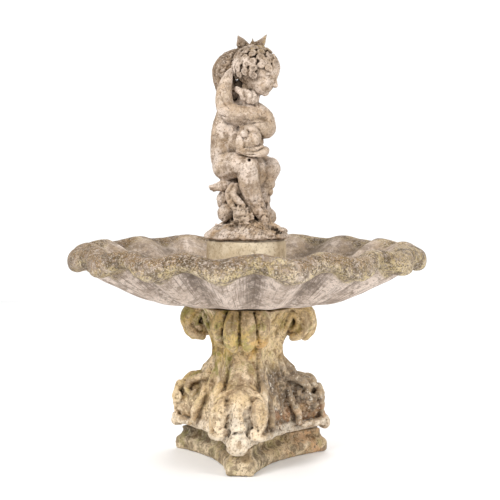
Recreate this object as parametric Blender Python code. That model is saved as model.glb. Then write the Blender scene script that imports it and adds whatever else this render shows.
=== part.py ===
"""A tiered garden fountain in cast stone: a concave-sided plinth, a three-sided pedestal of scroll
consoles with dolphin heads, a scalloped bowl, a drum, and a figure group of a boy with a fish.
Inside run the copper supply pipe, the tank connector, the riser and the jet; the bowl has a brass
drain with a rubber stopper. Metres, +Z up, -Y is the front; the origin is on the ground, on the axis.
"""

import math

import bmesh
import bpy
from mathutils import Matrix, Vector

# Driving dimensions
LOBES = 16
LOBE_TURN = math.radians(3 + 180 / LOBES)  # the front lobe, counted from -Y towards +X
LOBE_REACH = 0.014
LOBE_DROP = 0.010
FLUTE_DEPTH = 0.012
CORNERS = 3
CORNER_TURN = math.radians(-6.6)  # the front corner of plinth and pedestal
GAP = 0.0003  # between faces that touch
BED = 0.005  # a mortar bed

PLINTH_RADIUS = 0.285
PLINTH_FACET = 0.041  # half the width of a corner
PLINTH_SAG = 0.042  # how deep each side is hollowed
PLINTH_TOP = 0.078
PEDESTAL_FOOT = PLINTH_TOP + BED
PEDESTAL_TOP = 0.492
PEDESTAL_CORE = 0.045  # radius of the hollow for the pipe
BOWL_FOOT = PEDESTAL_TOP + BED
BOWL_FLOOR = 0.547
DRUM_FOOT = BOWL_FLOOR + BED
DRUM_RADIUS = 0.131
DRUM_TOP = 0.7085
FIGURE_FOOT = DRUM_TOP + BED
MOUND_RADIUS = 0.137

PIPE_RADIUS = 0.0075
PIPE_WALL = 0.0012
INLET_HEIGHT = 0.020
ELBOW_RADIUS = 0.028
CONNECTOR_STEM = 0.0105
CONNECTOR_FLANGE = 0.020
RISER_RADIUS = 0.005
JET = Vector((0.006, -0.095, 0.966))  # mouth of the jet hole, at the front
JET_BEND_HEIGHT = 0.948
DOWEL_RADIUS = 0.006
DRAIN_TURN = math.radians(173.4)
DRAIN_REACH = 0.186
DRAIN_HOLE = 0.019
SIDES = 24  # round pieces


# Clearing the scene and the shared makers
for old in list(bpy.data.objects):
    bpy.data.objects.remove(old, do_unlink=True)


def material(name, colour, roughness, metallic=0.0):
    made = bpy.data.materials.new(name)
    made.use_nodes = True
    shader = made.node_tree.nodes["Principled BSDF"]
    shader.inputs["Base Color"].default_value = (*colour, 1.0)
    shader.inputs["Roughness"].default_value = roughness
    shader.inputs["Metallic"].default_value = metallic
    return made


CAST_STONE = material("cast_stone", (0.56, 0.48, 0.39), 0.92)
MORTAR = material("mortar", (0.40, 0.36, 0.30), 0.95)
COPPER = material("copper", (0.55, 0.29, 0.18), 0.40, 1.0)
BRASS = material("brass", (0.62, 0.48, 0.22), 0.35, 1.0)
STEEL = material("stainless_steel", (0.60, 0.60, 0.60), 0.30, 1.0)
RUBBER = material("rubber", (0.05, 0.05, 0.05), 0.70)


def place(name, form, finish, location=(0, 0, 0), turn=0.0):
    """The bmesh as a named object, turned about its own Z axis."""
    mesh = bpy.data.meshes.new(name)
    form.normal_update()
    form.to_mesh(mesh)
    form.free()
    mesh.materials.append(finish)
    made = bpy.data.objects.new(name, mesh)
    made.location = location
    made.rotation_euler = (0, 0, turn)
    bpy.context.scene.collection.objects.link(made)
    return made


def cut(target, cutter, operation="DIFFERENCE"):
    cutter.hide_render = True
    cutter.display_type = "WIRE"
    boolean = target.modifiers.new(cutter.name, "BOOLEAN")
    boolean.operation = operation
    boolean.object = cutter
    boolean.solver = "EXACT"


def towards(turn, reach, height=0.0):
    """The point at that angle from the front, counted towards +X."""
    return Vector((reach * math.sin(turn), -reach * math.cos(turn), height))


def corner_turn(index):
    return CORNER_TURN + index * math.tau / CORNERS


def turned(profile, sides=SIDES):
    """A ring or a solid of revolution from a closed or axis-to-axis outline of (radius, height)."""
    form = bmesh.new()
    points = [form.verts.new((r, 0, z)) for r, z in profile]
    on_axis = profile[0][0] == 0 and profile[-1][0] == 0
    pairs = list(zip(points, points[1:])) + ([] if on_axis else [(points[-1], points[0])])
    edges = [form.edges.new(pair) for pair in pairs]
    bmesh.ops.spin(
        form, geom=points + edges, cent=(0, 0, 0), axis=(0, 0, 1),
        angle=math.tau, steps=sides, use_merge=True,
    )
    bmesh.ops.remove_doubles(form, verts=form.verts[:], dist=1e-6)
    bmesh.ops.recalc_face_normals(form, faces=form.faces[:])
    return form


def rod(name, finish, radius, start, end, bore=0.0, sides=SIDES):
    """A straight rod or tube between two points."""
    start, end = Vector(start), Vector(end)
    length = (end - start).length
    outline = [(radius, 0), (radius, length)]
    outline = [(bore, 0), *outline, (bore, length)]
    made = place(name, turned(outline, sides), finish, start)
    made.rotation_mode = "QUATERNION"
    made.rotation_quaternion = (end - start).to_track_quat("Z", "Y")
    return made


def box(name, low, high):
    form = bmesh.new()
    bmesh.ops.create_cube(form, size=1)
    size = [b - a for a, b in zip(low, high)]
    middle = [(a + b) / 2 for a, b in zip(low, high)]
    bmesh.ops.scale(form, vec=size, verts=form.verts)
    bmesh.ops.translate(form, vec=middle, verts=form.verts)
    return place(name, form, CAST_STONE)


def ball(form, centre, radii, tilt=0.0, finish_turn=0.0):
    """An ellipsoid, tilted about Y and then turned about Z."""
    matrix = (
        Matrix.Translation(centre) @ Matrix.Rotation(finish_turn, 4, "Z")
        @ Matrix.Rotation(tilt, 4, "Y") @ Matrix.Diagonal((*radii, 1.0))
    )
    bmesh.ops.create_icosphere(form, subdivisions=2, radius=1.0, matrix=matrix)


def limb(form, stations):
    """A tapering round limb through stations of (x, y, z, radius)."""
    for x, y, z, radius in stations:
        ball(form, (x, y, z), (radius, radius, radius))
    for (*first, thick), (*second, thin) in zip(stations, stations[1:]):
        first, second = Vector(first), Vector(second)
        run = second - first
        matrix = Matrix.Translation((first + second) / 2) @ run.to_track_quat("Z", "Y").to_matrix().to_4x4()
        bmesh.ops.create_cone(
            form, cap_ends=True, segments=14, radius1=thick, radius2=thin, depth=run.length, matrix=matrix
        )


def carve(made, voxel, smoothing, keep):
    """Merges the rough forms of a carving into one skin, softens it and thins its faces."""
    remesh = made.modifiers.new("merge", "REMESH")
    remesh.mode = "VOXEL"
    remesh.voxel_size = voxel
    smooth = made.modifiers.new("soften", "SMOOTH")
    smooth.factor = 0.5
    smooth.iterations = smoothing
    thin = made.modifiers.new("thin", "DECIMATE")
    thin.ratio = keep


def triform(reach, facet, sag, inset=0.0, arc_points=8):
    """The plan of a three-cornered block with hollow sides, in order round the axis."""
    points = []
    for index in range(CORNERS):
        out = towards(corner_turn(index), 1)
        along = Vector((0, 0, 1)).cross(out)
        next_out = towards(corner_turn(index + 1), 1)
        next_along = Vector((0, 0, 1)).cross(next_out)
        start = out * (reach - inset) + along * (facet - inset / 2)
        end = next_out * (reach - inset) - next_along * (facet - inset / 2)
        middle = (start + end) / 2
        inward = -middle.normalized()
        points.append(out * (reach - inset) - along * (facet - inset / 2))
        for step in range(arc_points + 1):
            share = step / arc_points
            hollow = sag * (1 - (2 * share - 1) ** 2) + inset / 2 * (1 - abs(2 * share - 1))
            points.append(start.lerp(end, share) + inward * hollow)
    return points


def stacked(sections):
    """A solid through plans of equal count, each (points, height), with flat ends."""
    form = bmesh.new()
    loops = []
    for points, height in sections:
        verts = [form.verts.new((p.x, p.y, height)) for p in points]
        loops.append([form.edges.new((a, b)) for a, b in zip(verts, verts[1:] + verts[:1])])
    for low, high in zip(loops, loops[1:]):
        bmesh.ops.bridge_loops(form, edges=low + high)
    bmesh.ops.contextual_create(form, geom=loops[0])
    bmesh.ops.contextual_create(form, geom=loops[-1])
    bmesh.ops.recalc_face_normals(form, faces=form.faces[:])
    return form


# Plinth: a block with three blunt corners and hollow sides, an ogee along its upper edge
PLINTH_OGEE = [(0.0, 0.003), (0.005, 0.0), (0.034, 0.0), (0.046, 0.009), (0.058, 0.017), (0.070, 0.020)]
plinth = place(
    "plinth",
    stacked(
        [(triform(PLINTH_RADIUS, PLINTH_FACET, PLINTH_SAG, inset), height) for height, inset in PLINTH_OGEE]
        + [(triform(PLINTH_RADIUS, PLINTH_FACET, PLINTH_SAG, 0.020), PLINTH_TOP)]
    ),
    CAST_STONE,
)
cut(plinth, rod("plinth_core_cutter", CAST_STONE, PEDESTAL_CORE, (0, 0, -0.01), (0, 0, 0.1)))
CHANNEL_HALF = 0.017
channel = box("channel_cutter", (-CHANNEL_HALF, -0.3, -0.01), (CHANNEL_HALF, 0.0, INLET_HEIGHT + 0.018))
channel.rotation_euler = (0, 0, DRAIN_TURN)
cut(plinth, channel)

plinth_bed = place(
    "plinth_mortar_bed",
    stacked(
        [
            (triform(PLINTH_RADIUS, PLINTH_FACET, PLINTH_SAG, 0.038), PLINTH_TOP + GAP),
            (triform(PLINTH_RADIUS, PLINTH_FACET, PLINTH_SAG, 0.038), PEDESTAL_FOOT - GAP),
        ]
    ),
    MORTAR,
)
cut(plinth_bed, rod("plinth_bed_cutter", MORTAR, PEDESTAL_CORE, (0, 0, 0.07), (0, 0, 0.1)))

# Pedestal: one casting of a core, a foot slab and three scroll consoles with dolphin heads
SLAB_TOP = 0.108
# Plans up the core: corner radius, half width of a corner, hollow of a side, height
CORE_PLANS = [
    (0.275, 0.030, 0.030, SLAB_TOP - 0.010), (0.240, 0.040, 0.020, 0.155), (0.195, 0.045, 0.010, 0.220),
    (0.140, 0.050, 0.000, 0.290), (0.118, 0.054, -0.004, 0.350), (0.120, 0.056, -0.004, 0.410),
    (0.140, 0.060, -0.006, 0.460), (0.158, 0.066, -0.008, PEDESTAL_TOP + 0.010),
]
CONSOLE_SPINE = [
    (0.165, 0.470, 0.036), (0.128, 0.420, 0.042), (0.100, 0.365, 0.050), (0.108, 0.320, 0.054),
    (0.150, 0.280, 0.056), (0.195, 0.245, 0.056), (0.222, 0.195, 0.054), (0.232, 0.150, 0.048),
]
VOLUTE_REACH, VOLUTE_HEIGHT, VOLUTE_RADIUS = 0.194, 0.434, 0.055
# Round forms of one console: reach, sideways, height, then radii outwards, sideways and up
CONSOLE_FORMS = [
    (VOLUTE_REACH, 0.0, VOLUTE_HEIGHT, VOLUTE_RADIUS + 0.006, 0.058, VOLUTE_RADIUS),
    (0.240, 0.0, 0.215, 0.038, 0.036, 0.062),
    (0.225, 0.058, 0.190, 0.034, 0.026, 0.058),
    (0.225, -0.058, 0.190, 0.034, 0.026, 0.058),
    (0.262, 0.0, 0.150, 0.028, 0.026, 0.036),
    (0.264, 0.0, 0.116, 0.024, 0.030, 0.026),
]


def console(form, index):
    out = towards(corner_turn(index), 1)
    along = Vector((0, 0, 1)).cross(out)
    facing = math.atan2(out.y, out.x)
    spine = [(*(out * reach + Vector((0, 0, height))), radius) for reach, height, radius in CONSOLE_SPINE]
    limb(form, spine)
    for reach, aside, height, *radii in CONSOLE_FORMS:
        centre = out * reach + along * aside + Vector((0, 0, height))
        ball(form, centre, radii, finish_turn=facing)


pedestal_form = stacked([(triform(*plan), height) for *plan, height in CORE_PLANS])
for corner in range(CORNERS):
    console(pedestal_form, corner)
slab_form = stacked(
    [
        (triform(0.296, 0.024, 0.034, 0.006), PEDESTAL_FOOT - 0.01),
        (triform(0.296, 0.024, 0.034), PEDESTAL_FOOT + 0.012),
        (triform(0.296, 0.024, 0.034, 0.008), SLAB_TOP),
    ]
)
slab_mesh = bpy.data.meshes.new("pedestal_slab")
slab_form.to_mesh(slab_mesh)
slab_form.free()
pedestal_form.from_mesh(slab_mesh)
pedestal = place("pedestal", pedestal_form, CAST_STONE)
carve(pedestal, 0.007, 2, 0.055)
cut(pedestal, box("pedestal_foot_cutter", (-0.5, -0.5, 0.0), (0.5, 0.5, PEDESTAL_FOOT)))
cut(pedestal, box("pedestal_top_cutter", (-0.5, -0.5, PEDESTAL_TOP), (0.5, 0.5, 0.6)))
cut(pedestal, rod("pedestal_core_cutter", CAST_STONE, PEDESTAL_CORE, (0, 0, 0.05), (0, 0, 0.55)))

bowl_bed = place(
    "bowl_mortar_bed",
    turned(
        [
            (PEDESTAL_CORE, PEDESTAL_TOP + GAP), (0.118, PEDESTAL_TOP + GAP),
            (0.118, BOWL_FOOT - GAP), (PEDESTAL_CORE, BOWL_FOOT - GAP),
        ],
        32,
    ),
    MORTAR,
)

# Bowl: a shallow dish spun from one outline, then pushed into lobes; the rim is a heavy roll
CONNECTOR_HOLE = CONNECTOR_STEM + GAP
BOWL_OUTLINE = [
    (CONNECTOR_HOLE, BOWL_FOOT), (0.14, BOWL_FOOT), (0.22, 0.508), (0.28, 0.5155), (0.33, 0.530),
    (0.39, 0.562), (0.45, 0.600), (0.500, 0.629), (0.520, 0.620), (0.546, 0.620), (0.562, 0.634),
    (0.567, 0.657), (0.560, 0.680), (0.542, 0.694), (0.520, 0.695), (0.496, 0.684), (0.45, 0.655),
    (0.38, 0.612), (0.31, 0.574), (0.26, 0.554), (0.225, BOWL_FLOOR), (0.15, BOWL_FLOOR),
    (CONNECTOR_HOLE, BOWL_FLOOR),
]


def ramp(value, low, high):
    share = min(max((value - low) / (high - low), 0.0), 1.0)
    return share * share * (3 - 2 * share)


def scallop(point):
    """Pushes a point of the plain dish into the lobes; the wave fades out towards the axis."""
    reach = math.hypot(point.x, point.y)
    turn = math.atan2(point.x, -point.y)
    wave = math.cos(LOBES * (turn - LOBE_TURN))
    out = LOBE_REACH * wave * ramp(reach, 0.30, 0.52)
    flute = FLUTE_DEPTH * wave * ramp(reach, 0.225, 0.42) * (1 - ramp(reach, 0.42, 0.53))
    drop = LOBE_DROP * wave * ramp(reach, 0.40, 0.52) + flute
    share = (reach + out) / reach
    return Vector((point.x * share, point.y * share, point.z - drop))


bowl_form = turned(BOWL_OUTLINE, LOBES * 6)
for vert in bowl_form.verts:
    vert.co = scallop(vert.co)
bowl = place("bowl", bowl_form, CAST_STONE)
drain = towards(DRAIN_TURN, DRAIN_REACH)
DRAIN_SEAT = 0.5095  # flat ground under the bowl for the backnut
drain_hole = [
    (0, 0.40), (0.033, 0.40), (0.033, DRAIN_SEAT), (DRAIN_HOLE, DRAIN_SEAT), (DRAIN_HOLE, 0.70), (0, 0.70),
]
cut(bowl, place("drain_cutter", turned(drain_hole), CAST_STONE, drain))

# Drum and its two beds
for bed_name, foot, top, reach in (
    ("drum_mortar_bed", BOWL_FLOOR, DRUM_FOOT, 0.122),
    ("figure_mortar_bed", DRUM_TOP, FIGURE_FOOT, 0.124),
):
    place(
        bed_name,
        turned([(0.055, foot + GAP), (reach, foot + GAP), (reach, top - GAP), (0.055, top - GAP)], 32),
        MORTAR,
    )
drum = place(
    "drum",
    turned(
        [
            (0.05, DRUM_FOOT), (DRUM_RADIUS + 0.002, DRUM_FOOT), (DRUM_RADIUS + 0.002, DRUM_FOOT + 0.02),
            (DRUM_RADIUS, DRUM_FOOT + 0.03), (DRUM_RADIUS, DRUM_TOP - 0.006), (DRUM_RADIUS - 0.004, DRUM_TOP),
            (0.05, DRUM_TOP),
        ],
        48,
    ),
    CAST_STONE,
)

# Figure group: a boy kneeling on rocks with a fish over his shoulder, on a round mound
MOUND_OUTLINE = [
    (0, FIGURE_FOOT - 0.01), (MOUND_RADIUS, FIGURE_FOOT - 0.01), (MOUND_RADIUS + 0.001, 0.728),
    (0.130, 0.744), (0.108, 0.760), (0.080, 0.772), (0, 0.790),
]
# Round forms: centre, then radii
ROCK_FORMS = [
    ((-0.010, 0.015, 0.810), (0.075, 0.070, 0.060)),
    ((-0.015, 0.010, 0.880), (0.060, 0.055, 0.055)),
    ((-0.070, -0.020, 0.800), (0.030, 0.032, 0.038)),
    ((-0.078, -0.010, 0.848), (0.020, 0.022, 0.026)),
    ((-0.024, -0.050, 0.840), (0.030, 0.024, 0.040)),
    ((0.010, -0.055, 0.785), (0.034, 0.030, 0.036)),
    ((0.060, 0.040, 0.800), (0.045, 0.045, 0.050)),
    ((-0.050, 0.060, 0.800), (0.045, 0.040, 0.050)),
]
BODY_FORMS = [
    ((-0.062, 0.000, 0.948), (0.056, 0.066, 0.056)),
    ((-0.066, 0.006, 1.030), (0.052, 0.062, 0.074)),
    ((-0.030, 0.010, 1.105), (0.062, 0.066, 0.062)),
    ((0.015, 0.016, 1.120), (0.052, 0.058, 0.048)),
    ((0.026, -0.004, 1.262), (0.066, 0.066, 0.068)),
    ((0.052, -0.012, 1.228), (0.044, 0.048, 0.040)),
    ((0.094, -0.016, 1.234), (0.014, 0.012, 0.013)),
    ((-0.092, -0.012, 0.884), (0.030, 0.020, 0.021)),
]
BODY_LIMBS = [
    [(-0.052, -0.030, 0.950, 0.048), (-0.022, -0.062, 0.956, 0.042), (0.004, -0.078, 0.948, 0.034)],
    [
        (0.004, -0.078, 0.948, 0.034), (0.012, -0.076, 0.904, 0.034), (0.022, -0.070, 0.855, 0.029),
        (0.044, -0.062, 0.806, 0.025), (0.062, -0.056, 0.770, 0.021), (0.094, -0.060, 0.752, 0.016),
    ],
    [(-0.040, 0.040, 0.950, 0.050), (0.020, 0.030, 0.950, 0.044), (0.070, 0.004, 0.941, 0.037)],
    [(0.070, 0.004, 0.941, 0.037), (0.062, 0.000, 0.880, 0.026), (0.060, 0.000, 0.820, 0.024)],
    [(0.004, 0.000, 1.120, 0.036), (0.014, 0.000, 1.180, 0.034), (0.020, 0.000, 1.220, 0.034)],
    [(-0.050, -0.030, 1.110, 0.036), (-0.074, -0.044, 1.160, 0.030), (-0.078, -0.036, 1.215, 0.026),
     (-0.060, -0.010, 1.250, 0.022), (-0.030, 0.026, 1.290, 0.020)],
    [(0.038, 0.020, 1.130, 0.036), (0.066, 0.006, 1.085, 0.036), (0.062, -0.020, 1.056, 0.028),
     (0.030, -0.060, 1.072, 0.022)],
]
FISH_SPINE = [
    (0.014, 0.024, 1.325, 0.018), (-0.024, 0.034, 1.312, 0.026), (-0.066, 0.040, 1.290, 0.035),
    (-0.084, 0.040, 1.250, 0.037), (-0.080, 0.046, 1.200, 0.040), (-0.050, 0.068, 1.140, 0.044),
    (0.000, 0.076, 1.085, 0.044), (0.045, 0.058, 1.060, 0.042), (0.058, 0.015, 1.048, 0.038),
    (0.030, -0.040, 1.040, 0.040), (0.010, -0.062, 1.034, 0.042),
]
FISH_FORMS = [
    ((0.008, -0.066, 1.034), (0.042, 0.034, 0.046)),
    ((0.034, -0.078, 1.008), (0.038, 0.024, 0.018)),
    ((0.054, -0.078, 1.006), (0.016, 0.020, 0.015)),
]
TAIL_THICK = 0.010
TAIL_LOBES = [
    [(0.014, 1.318), (-0.030, 1.318), (-0.028, 1.379), (0.000, 1.362), (0.014, 1.348)],
    [(0.014, 1.318), (0.014, 1.348), (0.040, 1.360), (0.066, 1.382), (0.056, 1.345), (0.048, 1.312)],
]

figure_form = turned(MOUND_OUTLINE, 40)
for centre, radii in ROCK_FORMS + BODY_FORMS + FISH_FORMS:
    ball(figure_form, centre, radii)
for stations in [*BODY_LIMBS, FISH_SPINE]:
    limb(figure_form, stations)
for outline in TAIL_LOBES:
    front = [figure_form.verts.new((x, 0.020 - TAIL_THICK, z)) for x, z in outline]
    face = figure_form.faces.new(front)
    solid = bmesh.ops.extrude_face_region(figure_form, geom=[face])
    moved = [v for v in solid["geom"] if isinstance(v, bmesh.types.BMVert)]
    bmesh.ops.translate(figure_form, vec=(0, 2 * TAIL_THICK, 0), verts=moved)
bmesh.ops.recalc_face_normals(figure_form, faces=figure_form.faces[:])
figure = place("figure", figure_form, CAST_STONE)
carve(figure, 0.005, 2, 0.062)
cut(figure, box("figure_foot_cutter", (-0.3, -0.3, 0.6), (0.3, 0.3, FIGURE_FOOT)))
RISER_HOLE = RISER_RADIUS + 0.0015
JET_BEND = Vector((0, 0, JET_BEND_HEIGHT))
JET_RUN = (JET - JET_BEND).normalized()
cut(figure, rod("riser_cutter", CAST_STONE, RISER_HOLE, (0, 0, 0.65), JET_BEND + Vector((0, 0, 0.006)), sides=12))
cut(figure, rod("jet_cutter", CAST_STONE, RISER_HOLE, JET_BEND, JET + JET_RUN * 0.06, sides=12))

# Stainless dowels across the plinth, bowl and figure joints
DOWELS = {
    "plinth": (3, 0.120, CORNER_TURN, plinth, pedestal, PLINTH_TOP - 0.045, PEDESTAL_FOOT + 0.045, plinth_bed),
    "bowl": (3, 0.090, CORNER_TURN, pedestal, bowl, PEDESTAL_TOP - 0.045, BOWL_FOOT + 0.025, bowl_bed),
    "figure": (2, 0.090, math.radians(81), drum, figure, DRUM_TOP - 0.040, FIGURE_FOOT + 0.025, None),
}
for joint, (count, reach, first_turn, lower, upper, foot, top, bed) in DOWELS.items():
    for index in range(count):
        at = towards(first_turn + index * math.tau / count, reach)
        label = f"{joint}_dowel_{index + 1}"
        low, high = at + Vector((0, 0, foot)), at + Vector((0, 0, top))
        hole = rod(
            label + "_cutter", STEEL, DOWEL_RADIUS + GAP,
            low - Vector((0, 0, GAP)), high + Vector((0, 0, GAP)), sides=12,
        )
        for piece in (lower, upper, bed or bpy.data.objects["figure_mortar_bed"]):
            cut(piece, hole)
        rod(label, STEEL, DOWEL_RADIUS, low, high, sides=12)

# Water supply: union at the back of the plinth, bent copper pipe, tank connector with washer and backnut
INLET_REACH = 0.150
BACK = towards(DRAIN_TURN, 1)


def bent_rod(name, radius, overrun=0.0):
    """In along the channel, round an elbow and up the axis."""
    form = bmesh.new()
    side = Vector((0, 0, 1)).cross(BACK)
    stations = [(BACK * (INLET_REACH + overrun) + Vector((0, 0, INLET_HEIGHT)), -BACK)]
    centre = BACK * ELBOW_RADIUS + Vector((0, 0, INLET_HEIGHT + ELBOW_RADIUS))
    for step in range(7):
        bend = Matrix.Rotation(math.pi / 2 * step / 6, 3, side)
        stations.append((centre - bend @ Vector((0, 0, ELBOW_RADIUS)), bend @ -BACK))
    stations.append((Vector((0, 0, BOWL_FOOT - 0.028 + overrun)), Vector((0, 0, 1))))
    rings = []
    for point, run in stations:
        matrix = Matrix.Translation(point) @ Matrix((side, run.cross(side), run)).transposed().to_4x4()
        made = bmesh.ops.create_circle(form, segments=12, radius=radius, matrix=matrix)
        rings.append(list({edge for vert in made["verts"] for edge in vert.link_edges}))
    for near, far in zip(rings, rings[1:]):
        bmesh.ops.bridge_loops(form, edges=near + far)
    bmesh.ops.contextual_create(form, geom=rings[0])
    bmesh.ops.contextual_create(form, geom=rings[-1])
    bmesh.ops.recalc_face_normals(form, faces=form.faces[:])
    return place(name, form, COPPER)


cut(bent_rod("supply_pipe", PIPE_RADIUS), bent_rod("pipe_bore_cutter", PIPE_RADIUS - PIPE_WALL, 0.01))


def hex_nut(name, finish, flats, bore, start, end):
    nut = rod(name, finish, flats / 2 / math.cos(math.pi / 6), start, end, sides=6)
    hole = rod(name + "_bore", finish, bore, Vector(start) * 2 - Vector(end), Vector(end) * 2 - Vector(start))
    cut(nut, hole)
    return nut


union_start = BACK * INLET_REACH + Vector((0, 0, INLET_HEIGHT)) - BACK * 0.012
union_end = BACK * (INLET_REACH + 0.022) + Vector((0, 0, INLET_HEIGHT))
hex_nut("inlet_union", BRASS, 0.026, PIPE_RADIUS + GAP, union_start, union_end)

FLANGE_UNDER = BOWL_FLOOR + 0.003
place(
    "tank_connector",
    turned(
        [
            (PIPE_RADIUS - PIPE_WALL, BOWL_FOOT - 0.026), (CONNECTOR_STEM, BOWL_FOOT - 0.026),
            (CONNECTOR_STEM, FLANGE_UNDER), (CONNECTOR_FLANGE, FLANGE_UNDER),
            (CONNECTOR_FLANGE, FLANGE_UNDER + 0.004), (0.012, FLANGE_UNDER + 0.005),
            (0.012, FLANGE_UNDER + 0.022), (PIPE_RADIUS - PIPE_WALL, FLANGE_UNDER + 0.022),
        ]
    ),
    BRASS,
)
place(
    "connector_washer",
    turned(
        [
            (CONNECTOR_STEM + GAP, BOWL_FLOOR + GAP), (CONNECTOR_FLANGE, BOWL_FLOOR + GAP),
            (CONNECTOR_FLANGE, FLANGE_UNDER - GAP), (CONNECTOR_STEM + GAP, FLANGE_UNDER - GAP),
        ]
    ),
    RUBBER,
)
hex_nut(
    "connector_backnut", BRASS, 0.032, CONNECTOR_STEM + GAP, (0, 0, BOWL_FOOT - 0.012), (0, 0, BOWL_FOOT - GAP)
)

# Riser: a thin copper tube from the connector up to the jet, and the lead jet collar in its hole
riser_start = FLANGE_UNDER + 0.022 + GAP
rod("figure_riser", COPPER, RISER_RADIUS, (0, 0, riser_start), (0, 0, JET_BEND_HEIGHT - 0.006), 0.0035, 12)
rod(
    "jet_tube", COPPER, RISER_RADIUS, JET_BEND + JET_RUN * (RISER_RADIUS + 0.003), JET - JET_RUN * 0.012, 0.0035, 12
)

# Bowl drain: brass waste with washer and backnut, and the rubber stopper that lifts out
FLANGE = BOWL_FLOOR + 0.003  # underside of the waste's flange
WASTE_STEM = DRAIN_HOLE - 0.0015
WASTE_BORE = 0.0135
WASTE_FOOT = DRAIN_SEAT - 0.022
place(
    "drain_waste",
    turned(
        [
            (WASTE_BORE, WASTE_FOOT), (WASTE_STEM, WASTE_FOOT), (WASTE_STEM, FLANGE),
            (0.029, FLANGE), (0.030, FLANGE + 0.002), (0.026, FLANGE + 0.0045),
            (WASTE_BORE + 0.003, FLANGE + 0.003), (WASTE_BORE, FLANGE - 0.006),
        ]
    ),
    BRASS,
    drain,
)
place(
    "drain_washer",
    turned(
        [
            (WASTE_STEM + GAP, BOWL_FLOOR + GAP), (0.028, BOWL_FLOOR + GAP),
            (0.028, FLANGE - GAP), (WASTE_STEM + GAP, FLANGE - GAP),
        ]
    ),
    RUBBER,
    drain,
)
hex_nut(
    "drain_backnut", BRASS, 0.050, WASTE_STEM + GAP,
    drain + Vector((0, 0, DRAIN_SEAT - 0.012)), drain + Vector((0, 0, DRAIN_SEAT - GAP)),
)
place(
    "drain_stopper",
    turned(
        [
            (0, FLANGE - 0.014), (WASTE_BORE - 0.0035, FLANGE - 0.014), (WASTE_BORE - 0.0012, FLANGE + 0.0025),
            (0.022, FLANGE + 0.0052), (0.022, FLANGE + 0.008), (0.008, FLANGE + 0.010),
            (0.005, FLANGE + 0.016), (0.008, FLANGE + 0.023), (0, FLANGE + 0.025),
        ]
    ),
    RUBBER,
    drain,
)
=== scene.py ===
import math

import bmesh
import bpy
import numpy as np
from mathutils import Matrix, Vector, noise


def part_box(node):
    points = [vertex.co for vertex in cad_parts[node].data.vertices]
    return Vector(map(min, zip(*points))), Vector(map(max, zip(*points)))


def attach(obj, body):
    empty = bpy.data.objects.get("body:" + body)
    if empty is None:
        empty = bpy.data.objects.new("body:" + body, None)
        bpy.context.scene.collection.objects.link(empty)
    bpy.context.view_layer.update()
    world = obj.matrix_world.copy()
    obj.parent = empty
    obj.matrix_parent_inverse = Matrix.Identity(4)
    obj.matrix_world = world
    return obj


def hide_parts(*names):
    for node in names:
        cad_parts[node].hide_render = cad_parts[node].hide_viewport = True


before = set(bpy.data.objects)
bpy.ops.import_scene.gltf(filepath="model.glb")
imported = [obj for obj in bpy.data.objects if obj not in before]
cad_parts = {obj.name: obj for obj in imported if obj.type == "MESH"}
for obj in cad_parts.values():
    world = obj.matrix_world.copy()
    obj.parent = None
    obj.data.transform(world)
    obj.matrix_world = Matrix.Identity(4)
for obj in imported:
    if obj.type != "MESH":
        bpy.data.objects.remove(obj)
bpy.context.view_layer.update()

# Plinth: the block that carries everything. Cast stone, rammed into a mould: three blunt corners,
# three hollow sides, an ogee round the top edge. It simply stands on the ground.
CORNERS = 3
CORNER_TURN = math.radians(-5.6)
PLINTH_RADIUS = 0.271
PLINTH_FACET = 0.043
PLINTH_SAG = 0.046
# Points along each hollow side
SIDE_POINTS = 36
PLINTH_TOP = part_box("plinth")[1][2]
# The block was set down this far to the right of the axis
PLINTH_SHIFT = 0.005
# Up the edge of the block: height, how far the edge stands back
PLINTH_OGEE = [
    (0.0, 0.006), (0.006, 0.001), (0.020, 0.000), (0.034, 0.001), (0.041, 0.006), (0.046, 0.013),
    (0.053, 0.019), (0.062, 0.022), (0.070, 0.020), (0.077, 0.022),
]


def towards(turn, reach, height=0.0):
    """The point at that angle from the front, counted towards +X."""
    return Vector((reach * math.sin(turn), -reach * math.cos(turn), height))


def triform(reach, facet, sag, inset=0.0):
    """The plan of a three-cornered block with hollow sides, in order round the axis."""
    points = []
    for corner in range(CORNERS):
        turn = CORNER_TURN + corner * math.tau / CORNERS
        out, next_out = towards(turn, 1), towards(turn + math.tau / CORNERS, 1)
        along, next_along = Vector((-out.y, out.x, 0)), Vector((-next_out.y, next_out.x, 0))
        start = out * (reach - inset) + along * (facet - inset / 2)
        end = next_out * (reach - inset) - next_along * (facet - inset / 2)
        inward = -(start + end).normalized()
        points += [out * (reach - inset) - along * (facet - inset / 2), out * (reach - inset)]
        for step in range(SIDE_POINTS + 1):
            share = step / SIDE_POINTS
            bow = 1 - (2 * share - 1) ** 2
            points.append(start.lerp(end, share) + inward * (sag + inset / 2) * bow)
    return points


def stack(form, sections):
    """A solid through plans of equal count, each (points, height), with flat ends."""
    loops = []
    for points, height in sections:
        verts = [form.verts.new((p.x, p.y, height)) for p in points]
        loops.append([form.edges.new((a, b)) for a, b in zip(verts, verts[1:] + verts[:1])])
    made = []
    for low, high in zip(loops, loops[1:]):
        made += bmesh.ops.bridge_loops(form, edges=low + high)["faces"]
    for end in (loops[0], loops[-1]):
        made += bmesh.ops.contextual_create(form, geom=end)["faces"]
    bmesh.ops.recalc_face_normals(form, faces=made)


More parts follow.
